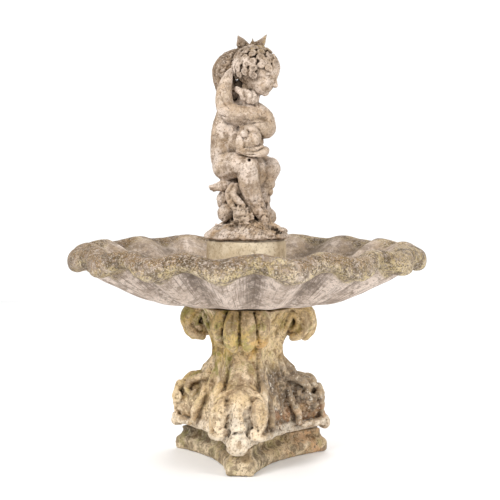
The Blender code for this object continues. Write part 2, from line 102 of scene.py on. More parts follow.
def clay(form, rolls=()):
    """One mesh from the solid forms of a model and its rolls of clay."""
    if rolls:
        line = bpy.data.curves.new("rolls", "CURVE")
        line.dimensions = "3D"
        line.bevel_depth = 1.0
        line.bevel_resolution = 3
        line.use_fill_caps = True
        for stations in rolls:
            spline = line.splines.new("POLY")
            spline.points.add(len(stations) - 1)
            for point, (x, y, z, radius) in zip(spline.points, stations):
                point.co = (x, y, z, 1)
                point.radius = radius
        rolled = bpy.data.objects.new("rolls", line)
        form.from_mesh(rolled.to_mesh())
        rolled.to_mesh_clear()
        bpy.data.objects.remove(rolled)
        bpy.data.curves.remove(line)
    mesh = bpy.data.meshes.new("clay")
    form.to_mesh(mesh)
    form.free()
    return mesh


def stand(name, data):
    """A new object in the scene."""
    body = bpy.data.objects.new(name, data)
    bpy.context.scene.collection.objects.link(body)
    return body


def cast(name, mesh, grain, soften):
    """The merged skin of a clay model as one casting, with faces about as wide as the grain."""
    body = stand(name, mesh)
    merge = body.modifiers.new("merge", "REMESH")
    merge.mode = "VOXEL"
    merge.voxel_size = grain
    merge.use_smooth_shade = True
    smooth = body.modifiers.new("soften", "SMOOTH")
    smooth.iterations = soften
    smooth.factor = 0.5
    whole = bpy.data.meshes.new_from_object(body.evaluated_get(bpy.context.evaluated_depsgraph_get()))
    body.modifiers.clear()
    body.data = whole
    bpy.data.meshes.remove(mesh)
    return body


def skin(body):
    """Places and normals of a mesh's points."""
    count = len(body.data.vertices)
    places, normals = np.empty(count * 3), np.empty(count * 3)
    body.data.vertices.foreach_get("co", places)
    body.data.vertices.foreach_get("normal", normals)
    return places.reshape(-1, 3), normals.reshape(-1, 3)


def reshape(body, places):
    """Moves the mesh's points to these places."""
    body.data.vertices.foreach_set("co", places.ravel())
    body.data.update()


def rough(places, scale, seed, octaves):
    """Fractal noise between about -1 and 1 at each place."""
    shift = Vector((seed * 7.3, seed * 3.1, seed * 5.7))
    return np.array([noise.fractal(Vector(p) * scale + shift, 0.7, 2.1, octaves) for p in places])


def erode(body, coarse, fine, seed, coarse_scale=22.0, fine_scale=85.0, where=1.0):
    """Weather takes the skin back unevenly and opens pits, in some places more than in others."""
    places, normals = skin(body)
    wave = coarse * rough(places, coarse_scale, seed, 3)
    attacked = np.clip(rough(places, 11.0, seed + 5, 2) * 1.6 + 0.45, 0.12, 1)
    grit = fine * rough(places, fine_scale, seed + 11, 3)
    pits = np.clip(rough(places, fine_scale * 1.3, seed + 23, 1) - 0.18, 0, 1) * fine * 4.0
    reshape(body, places + normals * ((wave + (grit - pits) * attacked) * where)[:, None])


def relief(body, steps=(4, 16, 60), gain=2.4):
    """Marks hollows and proud edges from how the skin bends: the hollows for dirt and painted shade, the
    edges for wear.
    """
    places, normals = skin(body)
    ends = np.empty(len(body.data.edges) * 2, dtype=int)
    body.data.edges.foreach_get("vertices", ends)
    a, b = ends[0::2], ends[1::2]
    count = len(places)
    links = np.bincount(a, minlength=count) + np.bincount(b, minlength=count)
    links[links == 0] = 1
    run = np.linalg.norm(places[a] - places[b], axis=1).mean()
    eased, hollow, proud = places.copy(), np.zeros(count), np.zeros(count)
    for step in range(1, max(steps) + 1):
        pulled = np.empty_like(eased)
        for axis in range(3):
            drawn = np.bincount(a, eased[b, axis], count) + np.bincount(b, eased[a, axis], count)
            pulled[:, axis] = drawn / links
        eased = pulled
        if step in steps:
            depth = ((eased - places) * normals).sum(axis=1) / (run * math.sqrt(step))
            hollow = np.maximum(hollow, depth * gain)
            proud = np.maximum(proud, -depth * gain * 0.8)
    # the hollow mark carries both real dirt and painted shade in the crevices
    mark(body, "hollow", np.clip(hollow, 0, 1))
    mark(body, "proud", np.clip(proud, 0, 1))


def mark(body, name, values):
    """Writes one number for each point of the skin, for the material to read."""
    layer = body.data.attributes.get(name) or body.data.attributes.new(name, "FLOAT", "POINT")
    layer.data.foreach_set("value", np.ascontiguousarray(values, dtype=np.float32))


def shader_group(name, output, **inputs):
    """A node group of numbers in and one number out, with its way in and its way out."""
    tree = bpy.data.node_groups.new(name, "ShaderNodeTree")
    for label, value in inputs.items():
        tree.interface.new_socket(label, in_out="INPUT", socket_type="NodeSocketFloat").default_value = value
    tree.interface.new_socket(output, in_out="OUTPUT", socket_type="NodeSocketFloat")
    return tree, tree.nodes.new("NodeGroupInput"), tree.nodes.new("NodeGroupOutput")


def add(tree, kind, links=None, **settings):
    """One node: settings are its own properties, links its inputs, each a socket or a value."""
    made = tree.nodes.new("ShaderNode" + kind)
    for key, value in settings.items():
        setattr(made, key, value)
    for key, value in (links or {}).items():
        if isinstance(value, bpy.types.NodeSocket):
            tree.links.new(value, made.inputs[key])
        else:
            made.inputs[key].default_value = value
    return made


def mix(tree, share, low, high):
    """A colour between low and high; each of the three is a socket or a value."""
    low, high = (each if isinstance(each, bpy.types.NodeSocket) else (*each, 1.0) for each in (low, high))
    return add(tree, "Mix", {0: share, 6: low, 7: high}, data_type="RGBA").outputs[2]


def reckon(tree, kind, first, second, clamp=True):
    """The sum, product or lesser of two numbers, held between 0 and 1 unless clamp is off."""
    return add(tree, "Math", {0: first, 1: second}, operation=kind, use_clamp=clamp).outputs[0]


def place_group(tree, group, values):
    """What the group puts out for these values."""
    return add(tree, "Group", values, node_tree=group).outputs[0]


def region(tree, name):
    """The share that mark() has written under this name."""
    return add(tree, "Attribute", attribute_name=name).outputs["Fac"]


def new_material(name):
    """A material with its node tree and its shader."""
    made = bpy.data.materials.new(name)
    made.use_nodes = True
    return made, made.node_tree, made.node_tree.nodes["Principled BSDF"]


# Patches: a soft-edged blotch pattern
patches, given, put = shader_group("patches", "Mask", Scale=10.0, Seed=0.0, From=0.45, To=0.6, Detail=6.0)
where = add(patches, "TexCoord")
shift = add(patches, "VectorMath", {0: where.outputs["Object"], 1: given.outputs["Seed"]}, operation="ADD")
cloud = add(
    patches, "TexNoise",
    {"Vector": shift.outputs[0], "Scale": given.outputs["Scale"], "Detail": given.outputs["Detail"],
     "Roughness": 0.62},
)
edge = add(
    patches, "MapRange",
    {"Value": cloud.outputs["Fac"], "From Min": given.outputs["From"], "From Max": given.outputs["To"]},
    interpolation_type="SMOOTHSTEP",
)
patches.links.new(edge.outputs[0], put.inputs["Mask"])


def blotches(scale, seed, low, high, detail=6.0):
    """The patches group and its values: how fine, which draw, where the blotch fades in and is full."""
    return patches, {"Scale": scale, "Seed": seed, "From": low, "To": high, "Detail": detail}


# Stone grain: the sand and pits of weathered cast stone, as a height
stone_grain, given, put = shader_group("stone_grain", "Height", Coarse=0.5, Fine=0.5, Pits=0.5)
where = add(stone_grain, "TexCoord")
heights = []
for scale, socket in ((120.0, "Coarse"), (420.0, "Fine")):
    cloud = add(stone_grain, "TexNoise", {"Vector": where.outputs["Object"], "Scale": scale, "Detail": 3.0})
    heights.append(reckon(stone_grain, "MULTIPLY", cloud.outputs["Fac"], given.outputs[socket], clamp=False))
holes = add(stone_grain, "TexVoronoi", {"Vector": where.outputs["Object"], "Scale": 160.0})
dip = add(stone_grain, "MapRange", {"Value": holes.outputs["Distance"], "From Min": 0.0, "From Max": 0.32})
heights.append(reckon(stone_grain, "MULTIPLY", dip.outputs[0], given.outputs["Pits"], clamp=False))
both = reckon(stone_grain, "ADD", heights[0], heights[1], clamp=False)
total = reckon(stone_grain, "ADD", both, heights[2], clamp=False)
stone_grain.links.new(total, put.inputs["Height"])


def stone(name, colours, growths=(), seed=0.0, dirt_and_shade=0.8, grain=(0.5, 0.35, 0.5), depth=0.0022, contrast=1.0,
          wear=0.35):
    """Weathered cast stone: tones in patches, growths, dark pits and pale grains, dirt and painted shade in
    the hollows, pale worn edges. A growth is (colour, region or None, strength, pattern)."""
    made, tree, shader = new_material(name)
    pale, mid, dark, soil_and_shade = colours
    broad = place_group(tree, *blotches(11, seed, 0.42, 0.58))
    tone = mix(tree, broad, mid, pale)
    blotch = place_group(tree, *blotches(22, seed + 3, 0.50, 0.62))
    tone = mix(tree, reckon(tree, "MULTIPLY", blotch, 0.60 * contrast), tone, dark)
    for colour, name_of_region, strength, pattern in growths:
        cover = place_group(tree, *pattern)
        if name_of_region:
            cover = reckon(tree, "MULTIPLY", cover, region(tree, name_of_region))
        tone = mix(tree, reckon(tree, "MULTIPLY", cover, strength), tone, colour)
    # grains and pits, coarse to fine: scale, from, to, colour, strength
    for scale, low, high, colour, strength in (
        (36, 0.55, 0.64, dark, 0.60), (60, 0.54, 0.64, pale, 0.25), (130, 0.55, 0.63, dark, 0.65),
        (170, 0.57, 0.64, pale, 0.28), (240, 0.60, 0.66, soil_and_shade, 0.60),
    ):
        cover = place_group(tree, *blotches(scale, seed + scale, low, high, detail=4.0))
        tone = mix(tree, reckon(tree, "MULTIPLY", cover, strength * contrast), tone, colour)
    # dirt and painted shade: the hollows are darkened towards the darkest tone, in ragged patches
    ragged = place_group(tree, *blotches(45, seed + 9, 0.30, 0.62))
    grime_and_shade = reckon(tree, "MULTIPLY", region(tree, "hollow"), reckon(tree, "ADD", ragged, 0.35))
    tone = mix(tree, reckon(tree, "MULTIPLY", grime_and_shade, dirt_and_shade), tone, soil_and_shade)
    tone = mix(tree, reckon(tree, "MULTIPLY", region(tree, "proud"), wear), tone, pale)
    tree.links.new(tone, shader.inputs["Base Color"])
    shader.inputs["Specular IOR Level"].default_value = 0.25
    dull = add(tree, "MapRange", {"Value": blotch, "To Min": 0.84, "To Max": 0.96})
    tree.links.new(dull.outputs[0], shader.inputs["Roughness"])
    height = place_group(tree, stone_grain, {"Coarse": grain[0], "Fine": grain[1], "Pits": grain[2]})
    bump = add(tree, "Bump", {"Height": height, "Distance": depth, "Strength": 1.0})
    tree.links.new(bump.outputs[0], shader.inputs["Normal"])
    return made


def finish(body, material, node):
    """The stone of a casting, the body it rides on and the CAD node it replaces."""
    body.data.materials.clear()
    body.data.materials.append(material)
    body.data.polygons.foreach_set("use_smooth", [True] * len(body.data.polygons))
    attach(body, "fountain")
    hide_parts(node)


plinth_form = bmesh.new()
stack(
    plinth_form,
    [(triform(PLINTH_RADIUS, PLINTH_FACET, PLINTH_SAG, inset), height) for height, inset in PLINTH_OGEE],
)
plinth = cast("plinth_block", clay(plinth_form), grain=0.0034, soften=10)
erode(plinth, coarse=0.0016, fine=0.0009, seed=1.0, coarse_scale=16.0)
places, normals = skin(plinth)
places[:, 2] = np.clip(places[:, 2], 0.0, PLINTH_TOP)
places[:, 0] += PLINTH_SHIFT
reshape(plinth, places)
relief(plinth)
rust = np.clip((places[:, 0] - 0.10) / 0.12, 0, 1)
soot = np.clip((-places[:, 0] - 0.05) / 0.14, 0, 1) * np.clip((places[:, 2] - 0.02) / 0.03, 0, 1)
mark(plinth, "rust", rust)
mark(plinth, "soot", soot)
PLINTH_TONES = [(0.70, 0.57, 0.39), (0.44, 0.32, 0.18), (0.13, 0.085, 0.045), (0.035, 0.021, 0.011)]
plinth_stone = stone(
    "plinth_stone", PLINTH_TONES,
    [
        ((0.50, 0.215, 0.07), "rust", 0.75, blotches(13, 2, 0.42, 0.58)),
        ((0.075, 0.064, 0.045), "soot", 0.90, blotches(16, 4, 0.38, 0.50)),
        ((0.27, 0.24, 0.07), None, 0.50, blotches(17, 6, 0.50, 0.60)),
        ((0.10, 0.065, 0.035), None, 0.75, blotches(30, 8, 0.51, 0.60)),
    ],
    seed=1.0, dirt_and_shade=0.95, grain=(0.8, 0.5, 0.7), depth=0.0035, contrast=1.3,
)
finish(plinth, plinth_stone, "plinth")

# Mortar beds and dowels: a trowelled bed of lime mortar in each joint, raked back out of sight, and
# stainless dowels across the joints. They are hidden once the fountain stands.
mortar = stone(
    "lime_mortar", [(0.42, 0.36, 0.28), (0.26, 0.21, 0.16), (0.13, 0.10, 0.08), (0.05, 0.04, 0.03)],
    seed=5.0, grain=(0.8, 0.8, 0.4),
)


def metal(name, colour, roughness, tarnish, tarnish_share):
    """Plain metal with a tarnish in patches."""
    made, tree, shader = new_material(name)
    dull = place_group(tree, *blotches(90, 2, 0.42, 0.62))
    tone = mix(tree, reckon(tree, "MULTIPLY", dull, tarnish_share), colour, tarnish)
    tree.links.new(tone, shader.inputs["Base Color"])
    shader.inputs["Metallic"].default_value = 1.0
    spread = add(tree, "MapRange", {"Value": dull, "To Min": roughness, "To Max": min(roughness + 0.3, 1.0)})
    tree.links.new(spread.outputs[0], shader.inputs["Roughness"])
    scratches = add(tree, "TexNoise", {"Scale": 900.0, "Detail": 3.0})
    bump = add(tree, "Bump", {"Height": scratches.outputs["Fac"], "Distance": 0.0002, "Strength": 0.6})
    tree.links.new(bump.outputs[0], shader.inputs["Normal"])
    return made


steel = metal(
    "stainless_steel", (0.60, 0.60, 0.59), roughness=0.30, tarnish=(0.42, 0.40, 0.37), tarnish_share=0.5
)


def give(material, *nodes):
    """A CAD node keeps its own shape and takes this material."""
    for name in nodes:
        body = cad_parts[name]
        body.data.materials.clear()
        body.data.materials.append(material)


give(mortar, "plinth_mortar_bed", "bowl_mortar_bed", "drum_mortar_bed", "figure_mortar_bed")
give(steel, *[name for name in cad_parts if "dowel" in name])

# Pedestal: one casting in stone, set on the plinth in mortar. A hollow-sided core on a foot slab
# carries three scroll consoles; each has an acanthus leaf and a volute at its head and a dolphin's
# head at its foot.
FOOT, HEAD = (corner[2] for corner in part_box("pedestal"))
SLAB_TOP = FOOT + 0.029
# Corner radius, half width of a corner and hollow of a side
SLAB = (0.292, 0.028, 0.036)
# Up the edge of the slab: height, how far the edge stands back
SLAB_EDGE = [
    (FOOT, 0.008), (FOOT + 0.004, 0.002), (FOOT + 0.013, 0.0), (FOOT + 0.022, 0.002), (SLAB_TOP, 0.010),
]
# The slab's noses hang this far below its foot, outside the plinth's top edge
NOSE_DROP, NOSE_FROM = 0.014, 0.268
# Plans up the core: corner radius, half width of a corner, hollow of a side, height
CORE_PLANS = [
    (0.262, 0.030, 0.036, SLAB_TOP - 0.008), (0.226, 0.040, 0.024, 0.150), (0.180, 0.046, 0.012, 0.215),
    (0.122, 0.048, 0.002, 0.272), (0.100, 0.048, -0.004, 0.320), (0.100, 0.050, -0.004, 0.410),
    (0.118, 0.056, -0.006, 0.455), (0.142, 0.064, -0.008, HEAD - 0.004),
]
# Round forms of a console in millimetres: outwards, sideways, height, then radii outwards, sideways
# and up. A form whose place sideways is above 0 is there on both flanks.
CONSOLE_FORMS = [
    (168, 0, 428, 40, 52, 46),
    # shoulders, brow and cheeks of the dolphin
    (146, 0, 240, 52, 50, 36), (190, 0, 214, 50, 56, 52), (204, 0, 168, 48, 52, 64),
    (224, 0, 204, 36, 42, 56), (170, 50, 172, 54, 30, 60), (196, 44, 218, 34, 22, 32),
    # almond-shaped lobes beside the nose, nose, chin and the beads under the lobes
    (236, 56, 186, 20, 21, 50), (262, 0, 150, 22, 27, 24), (268, 0, 118, 18, 29, 26),
    (246, 44, 128, 15, 16, 14),
    # three buds on one flank
    (222, -76, 196, 13, 9, 15), (210, -82, 166, 14, 10, 12), (236, -74, 166, 12, 9, 12),
    # the slab's nose, that hangs over the plinth
    (284, 0, 90, 18, 34, 24),
    # round belly of the scroll on each flank
    (196, 64, 158, 42, 18, 40),
]
# Rolls of a console in millimetres: outwards, sideways, height, radius
MIDDLE_ROLLS = [
    # the stem, from volute to head
    [(156, 0, 455, 36), (118, 0, 425, 42), (86, 0, 375, 44), (84, 0, 335, 46), (94, 0, 300, 47),
     (132, 0, 256, 50)],
    # ridge from brow to nose
    [(244, 0, 218, 16), (256, 0, 192, 17), (262, 0, 168, 19), (266, 0, 148, 21)],
]
FLANK_ROLLS = [
    # the leaf over the volute: middle lobe, side lobe and the lobe that wraps the flank
    [(132, 14, 502, 20), (182, 18, 490, 23), (208, 23, 464, 26), (216, 26, 430, 27), (212, 25, 402, 24),
     (204, 22, 386, 17)],
    [(132, 44, 500, 18), (174, 58, 487, 21), (192, 67, 461, 22), (196, 70, 434, 20), (187, 66, 414, 14)],
    [(126, 52, 498, 16), (158, 70, 480, 17), (173, 76, 453, 18), (174, 74, 420, 17), (160, 66, 396, 16),
     (142, 54, 388, 14)],
    [(132, 50, 474, 12), (152, 64, 458, 13), (157, 68, 434, 12), (146, 60, 416, 10)],
    # outer lid of the almond-shaped lobe
    [(212, 56, 240, 8), (228, 76, 212, 9), (234, 81, 182, 9), (238, 74, 148, 9), (244, 56, 126, 8)],
    # rope that runs on from the head along the foot
    [(254, 50, 118, 11), (236, 70, 112, 12), (200, 86, 110, 12), (160, 98, 108, 10)],
    # scroll over the shoulder
    [(108, 60, 262, 10), (146, 70, 256, 12), (178, 74, 238, 13), (186, 76, 212, 12), (166, 78, 198, 10),
     (152, 76, 210, 8)],
    # strap behind the head
    [(116, 72, 226, 11), (122, 84, 190, 13), (142, 92, 150, 13), (146, 96, 118, 11)],
    # twisted strands down the sides of the stem
    [(142, 60, 488, 10), (124, 54, 440, 11), (102, 48, 390, 10), (94, 48, 345, 10), (102, 54, 300, 11),
     (122, 62, 262, 11)],
    [(112, 58, 474, 9), (94, 54, 420, 10), (80, 58, 370, 9), (76, 56, 320, 10), (84, 64, 275, 10),
     (98, 74, 232, 10)],
]
# Drum of the volute: outwards, height, radius, width
VOLUTE = (0.170, 0.430, 0.042, 0.104)
# The eye on each flank: outwards, sideways, height
EYES = [(0.196, -0.082, 0.184), (0.222, 0.084, 0.186)]


def metres(numbers):
    """Millimetres as metres, for one number or for a nest of them."""
    return numbers / 1000 if isinstance(numbers, (int, float)) else [metres(each) for each in numbers]


def both_sides(rolls):
    """Rolls laid on one flank and, mirrored, on the other."""
    return [[(x, side * y, z, radius) for x, y, z, radius in line] for side in (-1, 1) for line in rolls]


def smooth_line(stations, steps=8):
    """Points along the smooth curve through the stations."""
    rows = [np.array(s, dtype=float) for s in stations]
    rows = [2 * rows[0] - rows[1], *rows, 2 * rows[-1] - rows[-2]]
    line = []
    for before, start, end, after in zip(rows, rows[1:], rows[2:], rows[3:]):
        for step in range(steps):
            t = step / steps
            line.append(
                0.5 * (2 * start + (end - before) * t + (2 * before - 5 * start + 4 * end - after) * t**2
                       + (3 * start - before - 3 * end + after) * t**3)
            )
    line.append(rows[-2])
    return line


def roll(stations, steps=8):
    """A roll of clay with round ends along the smooth curve through (x, y, z, radius) stations."""
    line = smooth_line(stations, steps)
    first, last = line[0], line[-1]
    head = first[:3] - line[1][:3]
    tail = last[:3] - line[-2][:3]
    head, tail = head / np.linalg.norm(head), tail / np.linalg.norm(tail)
    ends = [(0.99, 0.14), (0.87, 0.5), (0.5, 0.87)]
    front = [np.append(first[:3] + head * first[3] * out, first[3] * wide) for out, wide in ends]
    back = [np.append(last[:3] + tail * last[3] * out, last[3] * wide) for out, wide in reversed(ends)]
    return front + line + back


def spiral(centre, across, up, start_radius, end_radius, turns, thick, thin, start_turn=0.0):
    """A roll that winds inwards in the plane of across and up."""
    centre, across, up = Vector(centre), Vector(across), Vector(up)
    stations = []
    count = int(abs(turns) * 14)
    for step in range(count + 1):
        share = step / count
        radius = start_radius + (end_radius - start_radius) * share**0.85
        angle = start_turn + turns * math.tau * share
        point = centre + across * radius * math.cos(angle) + up * radius * math.sin(angle)
        stations.append((*point, thick + (thin - thick) * share))
    return roll(stations, 2)


def pat(form, centre, radii, tilt=0.0):
    """An egg of clay, tilted about Y."""
    matrix = Matrix.Translation(centre) @ Matrix.Rotation(tilt, 4, "Y") @ Matrix.Diagonal((*radii, 1.0))
    bmesh.ops.create_icosphere(form, subdivisions=3, radius=1.0, matrix=matrix)


def flanks(side):
    """Where a form stands sideways: on both flanks if its place is above 0, else only there."""
    return (side, -side) if side > 0 else (side,)


console_form = bmesh.new()
for reach, side, height, *radii in metres(CONSOLE_FORMS):
    for flank in flanks(side):
        pat(console_form, (reach, flank, height), radii)
reach, height, radius, width = VOLUTE
bmesh.ops.create_cone(
    console_form, cap_ends=True, segments=40, radius1=radius, radius2=radius, depth=width,
    matrix=Matrix.Translation((reach, 0, height)) @ Matrix.Rotation(math.pi / 2, 4, "X"),
)
console_rolls = [roll(stations) for stations in metres(MIDDLE_ROLLS) + both_sides(metres(FLANK_ROLLS))]
for reach, side, height in EYES:
    # a ring round a bead
    ring = spiral(
        (reach, side, height), (1, 0, 0), (0, 0, 1), start_radius=0.017, end_radius=0.015, turns=1.0,
        thick=0.0050, thin=0.0050,
    )
    console_rolls.append(ring)
    pat(console_form, (reach, math.copysign(0.080, side), height), (0.011, 0.008, 0.011))
console = clay(console_form, console_rolls)
pedestal_form = bmesh.new()
# from +X, along which the console is laid out, to each corner
corner_turns = [CORNER_TURN + corner * math.tau / CORNERS - math.pi / 2 for corner in range(CORNERS)]
swings = [Matrix.Rotation(turn, 3, "Z") for turn in corner_turns]
for swing in swings:
    start = len(pedestal_form.verts)
    pedestal_form.from_mesh(console)
    pedestal_form.verts.ensure_lookup_table()
    bmesh.ops.rotate(pedestal_form, cent=(0, 0, 0), matrix=swing, verts=pedestal_form.verts[start:])
bpy.data.meshes.remove(console)
stack(pedestal_form, [(triform(*plan), height) for *plan, height in CORE_PLANS])
stack(pedestal_form, [(triform(*SLAB, inset), height) for height, inset in SLAB_EDGE])
edge = [(p.x, p.y, SLAB_TOP - 0.004, 0.011) for p in triform(*SLAB, 0.010)]
pedestal = cast("pedestal_casting", clay(pedestal_form, [edge + edge[:2]]), grain=0.0030, soften=5)


def near(places, line):
    """Distance of each place from a line of points, in metres."""
    best = np.full(len(places), 9.0)
    for start, end in zip(line, line[1:]):
        start, end = np.array(start[:3]), np.array(end[:3])
        run = end - start
        share = np.clip(((places - start) @ run) / (run @ run), 0, 1)
        best = np.minimum(best, np.linalg.norm(places - start - share[:, None] * run, axis=1))
    return best


def score(body, stations, width, depth):
    """Cuts a line into the skin with a round tool."""
    places, normals = skin(body)
    line = smooth_line(stations, 5)
    reach = 3 * width
    close = np.all((places > np.min(line, axis=0) - reach) & (places < np.max(line, axis=0) + reach), axis=1)
    cut = depth * np.exp(-((near(places[close], line) / width) ** 2))
    places[close] -= normals[close] * cut[:, None]
    reshape(body, places)


def polar(places):
    """How far each place is from the axis, and how far round from the front."""
    return np.hypot(places[:, 0], places[:, 1]), np.arctan2(places[:, 0], -places[:, 1])


def ramp(values, low, high):
    """A soft step from 0 at low to 1 at high."""
    share = np.clip((values - low) / (high - low), 0, 1)
    return share * share * (3 - 2 * share)


def band(values, low, full, fade, end):
    """A soft band: in from low to full, out again from fade to end."""
    return ramp(values, low, full) * (1 - ramp(values, fade, end))


# Veins, the grooves between the lobes and the drilled eyes of each leaf; nostrils and the line of the
# mouth. In millimetres: the line, its width and its depth
LEAF_CUTS = [
    ([(176, 18, 514), (222, 21, 485), (238, 24, 445), (230, 22, 405)], 3, 3),
    ([(170, 58, 508), (208, 68, 475), (214, 72, 445), (204, 68, 420)], 3, 3),
    ([(182, 0, 506), (220, 0, 480), (230, 0, 440), (222, 0, 392)], 3.4, 4),
    ([(190, 42, 492), (208, 47, 465), (212, 49, 440)], 3.4, 5),
    ([(212, 49, 436), (206, 49, 414)], 6, 15),
    ([(272, 14, 158), (262, 34, 164), (250, 40, 196)], 3, 5),
    ([(286, 0, 136), (272, 30, 134), (250, 52, 132)], 3.4, 6),
]
for swing in swings:
    for stations, width, depth in metres(LEAF_CUTS):
        # a line on the middle is cut from both sides, so each time to half the depth
        share = 0.5 if stations[0][1] == 0 else 1.0
        for side in (-1, 1):
            line = [tuple(swing @ Vector((x, side * y, z))) for x, y, z in stations]
            score(pedestal, line, width, depth * share)
places, normals = skin(pedestal)
low_mass = 1 - np.clip((places[:, 2] - 0.24) / 0.06, 0, 1)
erode(pedestal, coarse=0.0030, fine=0.0016, seed=3.0, coarse_scale=26.0, where=0.55 + 0.45 * low_mass)
places, normals = skin(pedestal)
reach, turn = polar(places)
under_bowl = HEAD + 0.011 * np.clip((reach - 0.145) / 0.07, 0, 1)
over_plinth = FOOT - NOSE_DROP * np.clip((reach - NOSE_FROM) / 0.004, 0, 1)
places[:, 2] = np.clip(places[:, 2], over_plinth, under_bowl)
reshape(pedestal, places)
relief(pedestal)
turn, height = np.degrees(turn), places[:, 2]
right_face = band(turn, 8, 24, 100, 125)
left_flank = ramp(-turn, 12, 40) * ramp(height, 0.12, 0.25)
slab_face = (1 - ramp(height, 0.112, 0.122)) * ramp(reach, 0.10, 0.12)
front_foot = (1 - ramp(np.abs(turn + 5), 6, 14)) * (1 - ramp(height, 0.15, 0.24))
algae = ramp(height, 0.20, 0.42) * (1 - 0.5 * right_face) + 0.6 * left_flank
mark(pedestal, "algae", np.clip(algae, 0, 1))
mark(pedestal, "crust", right_face * (1 - ramp(height, 0.27, 0.34)) * (1 - ramp(reach, 0.245, 0.275)))
mark(pedestal, "rust", ramp(turn, 20, 60) * (1 - ramp(height, 0.13, 0.20)))
mark(pedestal, "bleached", slab_face + front_foot)
mark(pedestal, "orange", band(turn, -2, 6, 16, 30) * band(height, 0.24, 0.30, 0.39, 0.44))
PEDESTAL_TONES = [(0.84, 0.68, 0.48), (0.62, 0.455, 0.26), (0.23, 0.14, 0.068), (0.035, 0.019, 0.008)]
pedestal_stone = stone(
    "pedestal_stone", PEDESTAL_TONES,
    [
        ((0.58, 0.40, 0.08), "algae", 0.75, blotches(9, 12, 0.40, 0.58)),
        ((0.27, 0.25, 0.045), "algae", 0.80, blotches(20, 14, 0.49, 0.60)),
        ((0.66, 0.34, 0.08), "orange", 0.60, blotches(16, 23, 0.44, 0.58)),
        ((0.12, 0.092, 0.072), "crust", 0.90, blotches(20, 17, 0.32, 0.50)),
        ((0.34, 0.14, 0.05), "rust", 0.75, blotches(24, 19, 0.44, 0.58)),
        ((0.17, 0.10, 0.045), None, 0.65, blotches(24, 25, 0.52, 0.61)),
        ((0.82, 0.76, 0.66), "crust", 0.80, blotches(60, 21, 0.57, 0.64)),
        ((0.80, 0.72, 0.60), "bleached", 0.70, blotches(30, 27, 0.36, 0.52)),
    ],
    seed=7.0, dirt_and_shade=1.0, grain=(0.8, 0.5, 0.7), depth=0.0035, contrast=1.2,
)
finish(pedestal, pedestal_stone, "pedestal")

# Bowl: one heavy casting, a shallow dish of sixteen lobes with a thick rolled rim. It lies on the
# pedestal in mortar. Dirt and lichen have grown over the rim; the valleys between the lobes underneath are
# darkened with painted shade.
LOBES = 16
LOBE_TURN = math.radians(3 + 180 / LOBES)
BOWL_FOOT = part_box("bowl")[0][2]
BOWL_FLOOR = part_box("drum_mortar_bed")[0][2] - 0.0003
CONNECTOR_HOLE = 0.0112
# Underside out to the rim, round the roll, and back in along the inside
BOWL_UNDER = [
    (0.060, BOWL_FOOT), (0.140, BOWL_FOOT + 0.0005), (0.180, 0.5025), (0.220, 0.508), (0.280, 0.5155),
    (0.330, 0.530), (0.390, 0.562), (0.450, 0.600), (0.490, 0.6255), (0.508, 0.6365),
]
BOWL_RIM = [
    (0.517, 0.6350), (0.535, 0.6295), (0.552, 0.633), (0.563, 0.643), (0.567, 0.658), (0.564, 0.675),
    (0.553, 0.687), (0.536, 0.693), (0.516, 0.692), (0.497, 0.683),
]
BOWL_INSIDE = [
    (0.470, 0.668), (0.420, 0.637), (0.360, 0.601), (0.310, 0.574), (0.260, 0.554), (0.225, BOWL_FLOOR),
    (0.150, BOWL_FLOOR),
]


def turned(outline, steps):
    """A ring or a solid of revolution from a closed outline of (radius, height)."""
    form = bmesh.new()
    points = [form.verts.new((r, 0, z)) for r, z in outline]
    edges = [form.edges.new(pair) for pair in zip(points, points[1:] + points[:1])]
    bmesh.ops.spin(
        form, geom=points + edges, cent=(0, 0, 0), axis=(0, 0, 1), angle=math.tau, steps=steps, use_merge=True
    )
    bmesh.ops.remove_doubles(form, verts=form.verts[:], dist=1e-6)
    bmesh.ops.recalc_face_normals(form, faces=form.faces[:])
    return form


def scallop(places, under):
    """Pushes the plain dish into its lobes: broad and round, with a narrow valley between each two."""
    x, y, z = places.T
    reach, turn = polar(places)
    wave = np.cos(LOBES * (turn - LOBE_TURN))
    full = 2 * np.power(np.clip((1 + wave) / 2, 0, 1), 0.62) - 1
    sharp = np.where(under, full, wave)
    out = 0.014 * wave * ramp(reach, 0.30, 0.52)
    flute_depth = np.where(under, 0.0145, 0.0085)
    flute = flute_depth * sharp * ramp(reach, 0.225, 0.42) * (1 - ramp(reach, 0.44, 0.53))
    lower_edge = 1 - ramp(z, 0.640, 0.682)
    drop = (0.0070 + 0.0078 * lower_edge) * wave * ramp(reach, 0.40, 0.52) + flute
    share = (reach + out) / reach
    return np.stack([x * share, y * share, z - drop], axis=1)


outline = [tuple(p) for p in smooth_line([*BOWL_UNDER, *BOWL_RIM, *BOWL_INSIDE], 6)]
foot_ring = [(CONNECTOR_HOLE, BOWL_FOOT), (0.03, BOWL_FOOT)]
floor_ring = [(0.06, BOWL_FLOOR), (CONNECTOR_HOLE, BOWL_FLOOR)]
bowl = stand("bowl_casting", clay(turned([*foot_ring, *outline, *floor_ring], LOBES * 20)))
places, normals = skin(bowl)
reshape(bowl, scallop(places, under=normals[:, 2] < -0.05))
places, normals = skin(bowl)
reach, turn = polar(places)
on_rim = ramp(reach, 0.478, 0.505)
weathered = 0.25 * ramp(reach, 0.15, 0.25) + 0.75 * on_rim
erode(bowl, coarse=0.0024, fine=0.0007, seed=5.0, coarse_scale=15.0, fine_scale=70.0, where=weathered)
relief(bowl, steps=(3, 12, 40))
under = normals[:, 2] < -0.05
wave = np.cos(LOBES * (turn - LOBE_TURN))
